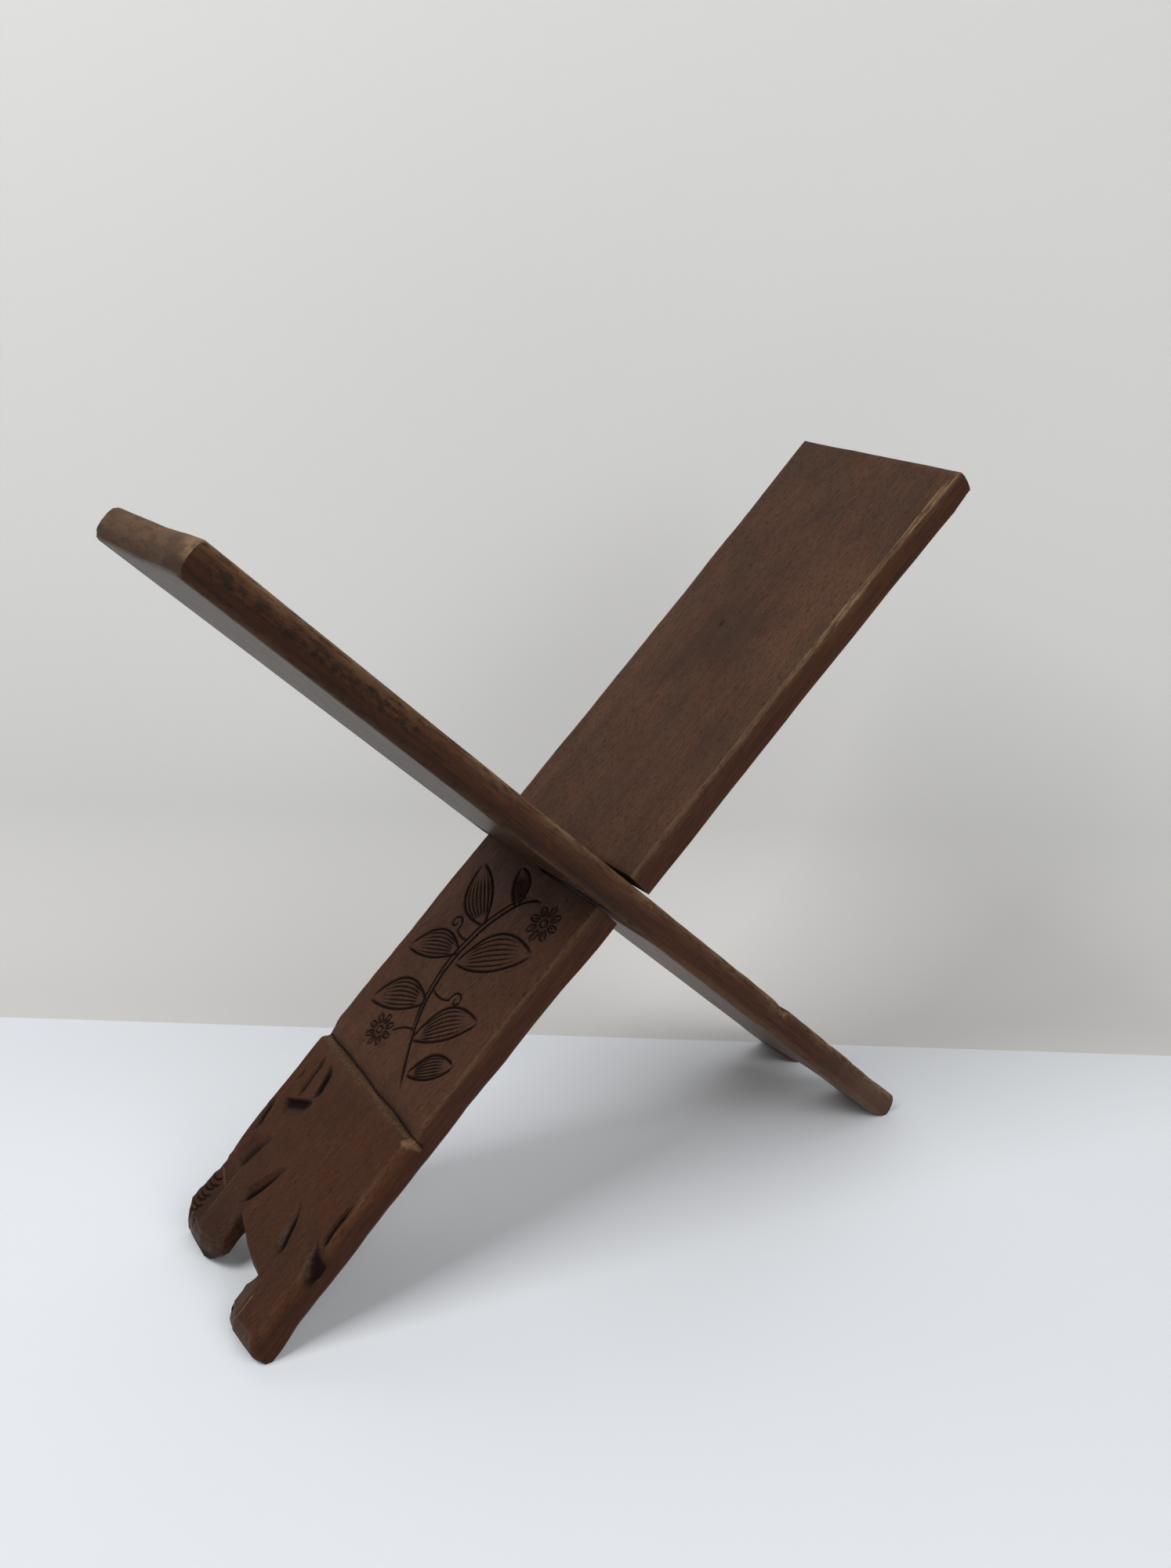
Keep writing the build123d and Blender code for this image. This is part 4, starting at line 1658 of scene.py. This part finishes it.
    def roughness(self, graph: WoodGraph) -> bpy.types.NodeSocket:
        """Satin wax on the long grain, a little glossier on the back; dull cuts, ends and inner corners.

        Args:
            graph: The wood's node tree.

        Returns:
            The roughness's socket.
        """
        corner = graph.share((UP, 34.0, 20.0), (UP, -44.0, -24.0), (OUT, -8.0, -9.0), 0.9)
        shine = graph.share((Trait.FIBRES, 0.3, 0.7, 0.38, 0.56), (OUT, -8.0, -9.0, 1.0, 0.8))
        for dull in (graph.socket(Trait.CUT), graph.share(SAWN_END, 0.9), corner):
            shine = graph.add("Math", {"operation": "MAXIMUM"}, {0: shine, 1: dull})[0]
        return shine

    def material(self, board: CarvedBoard) -> bpy.types.Material:
        """Makes the wood's material for one board.

        Args:
            board: The board, whose lean sets which way its end grain faces.

        Returns:
            The material.
        """
        material = bpy.data.materials.new(f"{self.name} {board.name}")
        material.use_nodes = True
        material.node_tree.nodes.clear()
        graph = WoodGraph(material.node_tree, board)
        # Pores are pits in the wax, and the darker fibres lie a little lower
        heights = {0: graph.share((Trait.PORES, 0.76, 0.62)), 1: graph.socket(Trait.FIBRES)}
        relief = graph.add("Math", {"operation": "SUBTRACT"}, heights)[0]
        depth = {"@Strength": self.bump_strength, "@Distance": self.bump_height * MM}
        links = {
            "Base Color": self.colour(graph, board),
            "Roughness": self.roughness(graph),
            "Normal": graph.add("Bump", depth, {"Height": relief})[0],
        }
        shader = graph.add("BsdfPrincipled", {"@IOR": self.refraction, "@Specular IOR Level": self.specular}, links)
        graph.add("OutputMaterial", {}, {"Surface": shader[0]})
        return material


@dataclass(frozen=True)
class Studio:
    """Plain pale floor with a sweep behind it, soft lights, and the camera."""

    floor_colour: str = "#EFF3F8"
    sweep_colour: str = "#DCDBD9"
    sky_colour: str = "#E2E1DF"
    sky_strength: float = 0.12
    table_depth: float = 0.883
    sweep_distance: float = 0.93
    sweep_radius: float = 0.12
    sweep_height: float = 1.6
    half_width: float = 2.4
    front: float = 2.0
    camera_offset: tuple = (-0.39171, -0.59051, 0.28714)
    yaw: float = 34.54
    pitch: float = 18.6
    roll: float = 1.9
    focal_pixels: float = 1686.19
    sensor_height: float = 36.0
    sweep_steps: int = 24
    sweep_lean: float = 0.15
    matt_roughness: float = 0.9
    matt_specular: float = 0.2
    lamps: tuple = (
        ("left window", (-1.27, -0.05, 1.72), 1.0, 23.5),
        ("front window", (0.15, -1.7, 1.35), 1.5, 20.0),
    )

    def aim(self) -> tuple:
        """Works out which way the camera looks, from its yaw, pitch and roll.

        Returns:
            Its forward, right and up, as unit vectors.
        """
        yaw, pitch, roll = (math.radians(angle) for angle in (self.yaw, self.pitch, self.roll))
        forward = Vector((math.sin(yaw) * math.cos(pitch), math.cos(yaw) * math.cos(pitch), -math.sin(pitch)))
        level = Vector((math.cos(yaw), -math.sin(yaw), 0.0))
        above = level.cross(forward)
        right = math.cos(roll) * level + math.sin(roll) * above
        return forward, right, math.cos(roll) * above - math.sin(roll) * level

    def camera(self) -> None:
        """Makes the camera at the viewing angle and frame of the reference."""
        forward, right, above = self.aim()
        data = bpy.data.cameras.new("camera")
        data.sensor_fit = "VERTICAL"
        data.sensor_height = self.sensor_height
        data.lens = self.focal_pixels * data.sensor_height / PHOTO_HEIGHT
        camera = add_object("camera", data)
        turn = Matrix((right, above, -forward)).transposed()
        camera.matrix_world = Matrix.Translation(crossing_point() + Vector(self.camera_offset)) @ turn.to_4x4()
        bpy.context.scene.camera = camera

    def floor(self) -> None:
        """Makes the floor and the sweep behind it.

        Formula: a profile carried sideways, which runs level, turns up through a quarter circle and
        then rises straight.
        """
        yaw = math.radians(self.yaw)
        away = np.array([math.sin(yaw), math.cos(yaw)])
        aside = np.array([math.cos(yaw), -math.sin(yaw)])
        start = np.array(crossing_point())[:2] + np.array(self.camera_offset)[:2]
        angle = np.linspace(0.0, math.pi / 2.0, self.sweep_steps)
        reach = self.sweep_distance + self.sweep_radius * np.sin(angle)
        rise = self.sweep_radius * (1.0 - np.cos(angle))
        reach = np.concatenate([[-self.front, self.table_depth], reach, [reach[-1] + self.sweep_lean]])
        rise = np.concatenate([[0.0, 0.0], rise, [self.sweep_height]])
        sides = np.array([-self.half_width, self.half_width])
        flat = start + reach[:, None, None] * away + sides[None, :, None] * aside
        points = np.concatenate([flat, np.broadcast_to(rise[:, None, None], flat.shape[:2] + (1,))], axis=2)
        rows = np.arange(len(reach) - 1)
        faces = np.stack([2 * rows, 2 * rows + 1, 2 * rows + 3, 2 * rows + 2], axis=1)
        mesh = bpy.data.meshes.new("floor")
        mesh.from_pydata(points.reshape(-1, 3).tolist(), [], faces.tolist())
        mesh.shade_smooth()
        mesh.materials.append(self.matt("pale matt floor", self.floor_colour))
        mesh.materials.append(self.see_through_back(self.matt("matt sweep", self.sweep_colour)))
        mesh.polygons.foreach_set("material_index", (rows > 0).astype(int))
        add_object("floor", mesh)

    def matt(self, name: str, colour: str) -> bpy.types.Material:
        """Makes a plain matt material.

        Args:
            name: The material's name.
            colour: Its sRGB hex colour.

        Returns:
            The material.
        """
        material = bpy.data.materials.new(name)
        material.use_nodes = True
        shader = material.node_tree.nodes["Principled BSDF"]
        shader.inputs["Base Color"].default_value = linear(colour)
        shader.inputs["Roughness"].default_value = self.matt_roughness
        shader.inputs["Specular IOR Level"].default_value = self.matt_specular
        return material

    def see_through_back(self, material: bpy.types.Material) -> bpy.types.Material:
        """Lets a camera behind the sweep look through it, and leaves the light as it is.

        Args:
            material: The material of the sweep.

        Returns:
            The same material.
        """
        tree = material.node_tree
        behind = add_node(tree, "NewGeometry")["Backfacing"]
        seen = add_node(tree, "LightPath")["Is Camera Ray"]
        share = add_node(tree, "Math", {"operation": "MULTIPLY"}, {0: behind, 1: seen})[0]
        clear = add_node(tree, "BsdfTransparent")[0]
        matt = tree.nodes["Principled BSDF"].outputs[0]
        mixed = add_node(tree, "MixShader", {}, {0: share, 1: matt, 2: clear})[0]
        tree.links.new(mixed, tree.nodes["Material Output"].inputs["Surface"])
        return material

    def sky(self) -> bpy.types.World:
        """Makes the world: faint light from all round, and a pale background where it is seen or mirrored.

        Returns:
            The world.
        """
        world = bpy.data.worlds.new("soft daylight")
        world.use_nodes = True
        tree = world.node_tree
        path = add_node(tree, "LightPath")
        seen = path["Is Camera Ray"]
        for ray in ("Is Glossy Ray", "Is Transmission Ray"):
            seen = add_node(tree, "Math", {"operation": "MAXIMUM"}, {0: seen, 1: path[ray]})[0]
        strength = add_node(tree, "MapRange", {"@To Min": self.sky_strength, "@To Max": 1.0}, {"Value": seen})[0]
        background = tree.nodes["Background"]
        background.inputs["Color"].default_value = linear(self.sky_colour)
        tree.links.new(strength, background.inputs["Strength"])
        return world

    def lamp(self, name: str, place: tuple, size: float, power: float) -> None:
        """Makes one square soft lamp that faces the crossing.

        Args:
            name: The lamp's name.
            place: Where it hangs, in metres.
            size: Its side in metres.
            power: Its power in watts.
        """
        data = bpy.data.lights.new(name, "AREA")
        data.shape = "SQUARE"
        data.size = size
        data.energy = power
        lamp = add_object(name, data)
        way = crossing_point() - Vector(place)
        lamp.matrix_world = Matrix.Translation(place) @ way.to_track_quat("-Z", "Y").to_matrix().to_4x4()

    def build(self) -> None:
        """Makes the whole set."""
        self.camera()
        self.floor()
        for lamp in self.lamps:
            self.lamp(*lamp)
        bpy.context.scene.world = self.sky()
        bpy.context.scene.view_settings.view_transform = "Standard"
        log.info("studio: floor, two soft lamps and the camera")


# The end of the feet, as places across the board and up it, on the carved face and on the back
NEAR_FOOT_LINE = (
    (-61.0, -58.0, -54.0, -48.0, -40.0, -34.0, -30.0, -27.0, -22.0)
    + (17.0, 20.0, 25.0, 34.0, 45.0, 52.0, 56.0, 59.0, 62.0),
    (-286.0, -289.5, -291.8, -292.6, -293.2, -293.8, -293.8, -293.4, -292.0)
    + (-278.0, -281.5, -284.4, -286.0, -285.8, -285.2, -284.4, -283.0, -280.0),
)
NEAR_BACK_FOOT_LINE = (
    (-66.0, -24.0, 17.0, 22.0, 28.0, 35.0, 66.0),
    (-296.2, -296.2, -284.0, -289.0, -293.5, -296.2, -296.2),
)
FAR_FOOT_LINE = (
    (-61.0, -58.0, -54.0, -46.0, -36.0, -32.0, -29.0, -27.3, 19.3, 23.0, 30.0, 45.0, 54.0, 59.0, 63.0),
    (-303.0, -306.0, -309.0, -310.4, -310.4, -309.6, -307.0, -303.0)
    + (-305.0, -308.4, -310.4, -310.8, -310.6, -310.0, -309.0),
)
FAR_BACK_FOOT_LINE = ((-66.0, 66.0), (-312.4, -312.4))

# How far each edge stands outside its straight line, as places up the board and millimetres
NEAR_PLAIN_PROFILE = (
    (-280.0, -270.0, -250.0, -240.0, -220.0, -205.0, -180.0, -160.0, -155.0, -80.0, 75.0, 135.0, 205.0, 265.0, 305.0),
    (2.4, 1.1, -1.2, 0.3, 1.9, 1.4, 2.3, 2.0, 0.0, -0.1, -0.4, -0.8, -0.2, 0.3, 1.0),
)
NEAR_SLOTTED_PROFILE = (
    (-290.0, -274.0, -263.0, -215.0, -203.0, -185.0, -100.0, 25.0, 65.0, 135.0, 180.0, 265.0, 290.0, 310.0),
    (-2.2, -1.0, -1.0, -0.6, 0.0, 0.6, 0.9, 0.5, 0.7, 1.3, 1.0, 0.4, 0.0, -1.2),
)
FAR_PLAIN_PROFILE = ((-284.0, -264.0, -246.0, -240.0), (-1.6, -0.6, -0.6, 0.0))
FAR_SLOTTED_PROFILE = ((-290.0, -274.0), (-1.4, 0.0))

NEAR_BOARD = CarvedBoard(
    name="near_board",
    node="near_slotted_board",
    lean=43.8,
    turn=0.0,
    upper_length=311.2,
    corner_length=9.6,
    lower_length=296.2,
    plain_setback=2.4,
    plain_profile=NEAR_PLAIN_PROFILE,
    slotted_profile=NEAR_SLOTTED_PROFILE,
    end_profile=((-60.0, 60.0), (0.0, 0.4)),
    foot_line=NEAR_FOOT_LINE,
    back_foot_line=NEAR_BACK_FOOT_LINE,
    handled_from=150.0,
    band_wear_and_highlight=0.22,
    lower_band_share=0.4,
    slotted_corner=4.0,
    knot=(174.0, 13.0),
    foot_darkening=0.12,
    foot_dust=0.0,
    stained=False,
    seed=11,
)
FAR_BOARD = CarvedBoard(
    name="far_board",
    node="far_slotted_board",
    lean=41.5,
    turn=180.0,
    upper_length=297.2,
    corner_length=3.0,
    lower_length=313.3,
    plain_setback=0.0,
    plain_profile=FAR_PLAIN_PROFILE,
    slotted_profile=FAR_SLOTTED_PROFILE,
    end_profile=((-60.0, -15.0, 8.0, 30.0, 45.0, 60.0), (0.0, -0.6, -1.8, -0.4, 1.1, 1.7)),
    foot_line=FAR_FOOT_LINE,
    back_foot_line=FAR_BACK_FOOT_LINE,
    handled_from=400.0,
    band_wear_and_highlight=0.75,
    lower_band_share=1.1,
    slotted_corner=2.0,
    knot=(118.0, 24.0),
    foot_darkening=0.0,
    foot_dust=0.5,
    stained=True,
    seed=57,
)


def main() -> None:
    """Builds the boards and the studio."""
    logging.basicConfig(level=logging.INFO, format="%(message)s")
    finish = Hardwood()
    for board in (NEAR_BOARD, FAR_BOARD):
        board.build(finish)
    Studio().build()


if __name__ == "__main__":
    main()
